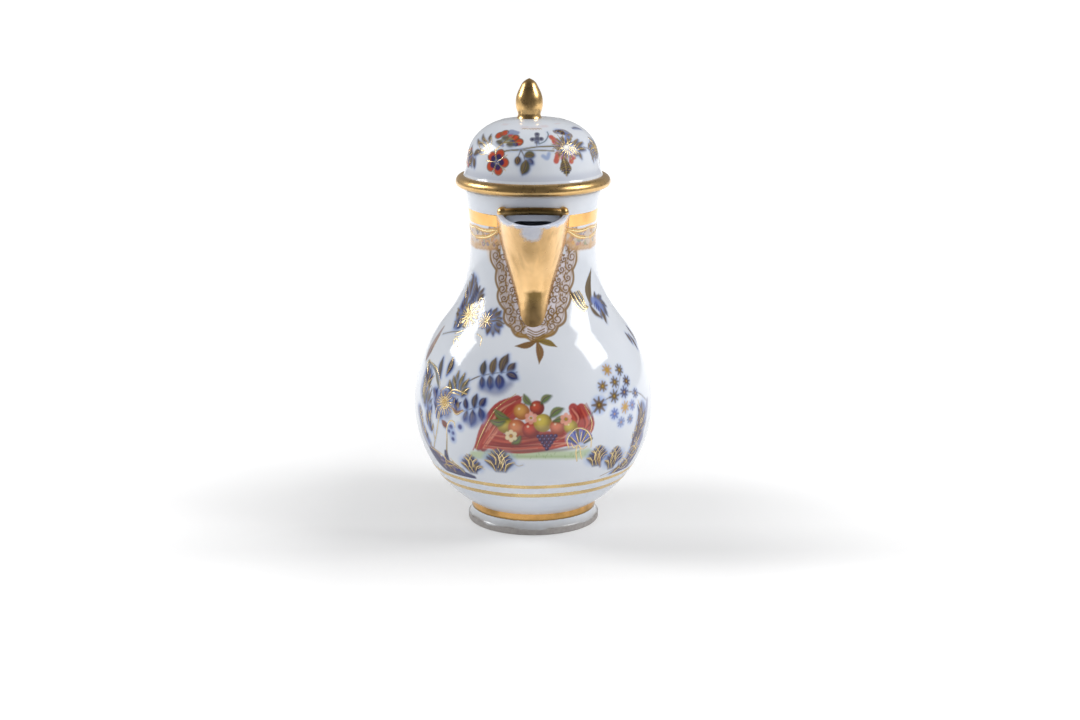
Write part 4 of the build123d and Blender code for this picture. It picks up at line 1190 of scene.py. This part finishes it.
    hand.ribs((((-43.5, 124.5), (-59.8, 127.5)), ((-44.2, 124.2), (-63.9, 126.2)),
               ((-42.8, 124.8), (-48.7, 128.2)), ((-44.9, 123.5), (-57.9, 123.4))), 0.14, 0.22)
    hand.leaves((((-62.2, 120.7), (-74.1, 124.8)), ((-64.1, 118.7), (-75.3, 122.2)),
                 ((-58.8, 119), (-59.6, 121.7))), 0.9, 0.06, "8A8390", DEEP_BLUE, 0.3)
    hand.leaf((59, 130.4), (75.8, 129.7), 1.0, 0.1, "8E97B0", BLUE, 0.3)


def paint_lid_back(hand):
    """The branch carried on round the sides and back of the dome."""
    for turn in range(-165, 166, 30):
        if abs(turn) < 75:
            continue
        hand.stem([(turn - 13, 121), (turn, 123.5), (turn + 13, 122)], 0.45, "7D7048")
        if turn // 30 % 2:
            five_petals(hand, (turn, 121), 3.3)
        else:
            hand.bloom((turn, 124), 3.4, 18, 0.32)
        for angle in (-70, 60, 150, 215):
            base = hand.toward((turn + 10, 122), angle, 0.6)
            hand.leaf(base, hand.toward(base, angle, 3.4), 1.5, 0.08, OLIVE, DEEP_BLUE, 0.35)


# Gold bands

def gold_band(name, first, last, low, high, material):
    """A thin band of gold round the pot between two heights, with edges that dip into the glaze."""
    row_height, column_turn, ripples = 0.25, 1.5, 7
    rows = max(int((high - low) / row_height), 4)
    columns = int((last - first) / column_turn)
    bpy.ops.mesh.primitive_grid_add(x_subdivisions=columns, y_subdivisions=rows, size=1)
    piece = bpy.context.object
    piece.name = name
    shape = random.Random(name)
    places = []
    for row, share in enumerate(np.linspace(0, 1, rows + 1)):
        edge = row in (0, rows)
        for column in range(columns + 1):
            turn = first + (last - first) * column / columns
            wobble = 0.05 * sin(radians(turn * ripples) + row) + shape.uniform(-0.03, 0.03) if edge else 0
            height = low + (high - low) * share + wobble
            places.append(pot.point((turn, height), 0.0 if edge else BAND_LIFT))
    piece.data.vertices.foreach_set("co", np.array(places, np.float32).ravel())
    dress(piece, "jug", material)


studio_camera()
studio()

plain = white_glaze()
painted = painted_glaze()

# One gold for each way that it was laid on: a broad polished band, fine pen lines that glitter, rings
# a little duller, a film thin enough for the blue to show through, and the browner gold of handled parts
bright_gold = gilding("burnished_gold", "E6B673", "BC8C4C", 0.2)
line_gold = gilding("pen_gold", "F2DCA6", "D3B27A", 0.24)
ring_gold = gilding("ring_gilding", "E0C48E", "B99C66", 0.26)
dull_gold = gilding("thin_gold_over_blue", "A08055", "755C3C", 0.38)
rim_gold = gilding("rim_gilding", "DBB67C", "AF8A56", 0.3)

pot = Surface(pot_line())
dome = Surface(dome_line())

# The pot is painted on four sheets, finer where the camera sees them. Each one's last number is the
# distance between its points, in mm.
belly_low, belly_high, neck_high = 21.5, 92, 100.4
pot_sheets = [
    Sheet("painted_left_front", pot, -64, 0, belly_low, belly_high, 0.22),
    Sheet("painted_right_front", pot, 0, 64, belly_low, belly_high, 0.22),
    Sheet("painted_back", pot, 64, 296, belly_low, belly_high, 0.4),
    Sheet("painted_neck", pot, 30, 330, belly_high, neck_high, 0.25),
]
dome_low, dome_high = 115.4, 132.0
lid_sheets = [Sheet("painted_lid", dome, -180, 180, dome_low, dome_high, 0.26)]
pot_lines = Gilder("pot_gold_lines", pot), Gilder("pot_dull_gold_lines", pot)
lid_lines = Gilder("lid_gold_lines", dome), Gilder("lid_dull_gold_lines", dome)

pot_hand = Painter(pot, pot_sheets, *pot_lines, 4)
for paint in (paint_fruit_piece, paint_left_garden, paint_right_garden, paint_spout_lace, paint_neck_straps,
              paint_back):
    paint(pot_hand)
lid_hand = Painter(dome, lid_sheets, *lid_lines, 9)
paint_lid_front(lid_hand)
paint_lid_back(lid_hand)

for body, sheets in (("jug", pot_sheets), ("lid", lid_sheets)):
    for sheet in sheets:
        sheet.finish(body, painted)
for body, lines in (("jug", pot_lines), ("lid", lid_lines)):
    for gilder, finish in zip(lines, (line_gold, dull_gold)):
        gilder.finish(body, finish)
gold_band("neck_gold_band", 33, 327, 100.2, 104.4, bright_gold)
gold_band("lower_gold_ring", 0, 360, 15.7, 17.2, ring_gold)
gold_band("upper_gold_ring", 0, 360, 19.4, 20.7, ring_gold)

finishes = {
    "spout": spout_gilding(), "spout_lip": lip_gilding(), "lid_rim": rim_gold, "finial_collar": rim_gold,
    "finial_bud": rim_gold, "foot_ring": foot_finish(),
}
for name, cad_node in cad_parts.items():
    cad_node.data.materials.clear()
    cad_node.data.materials.append(finishes.get(name, plain))

bpy.context.scene.view_settings.view_transform = "Standard"
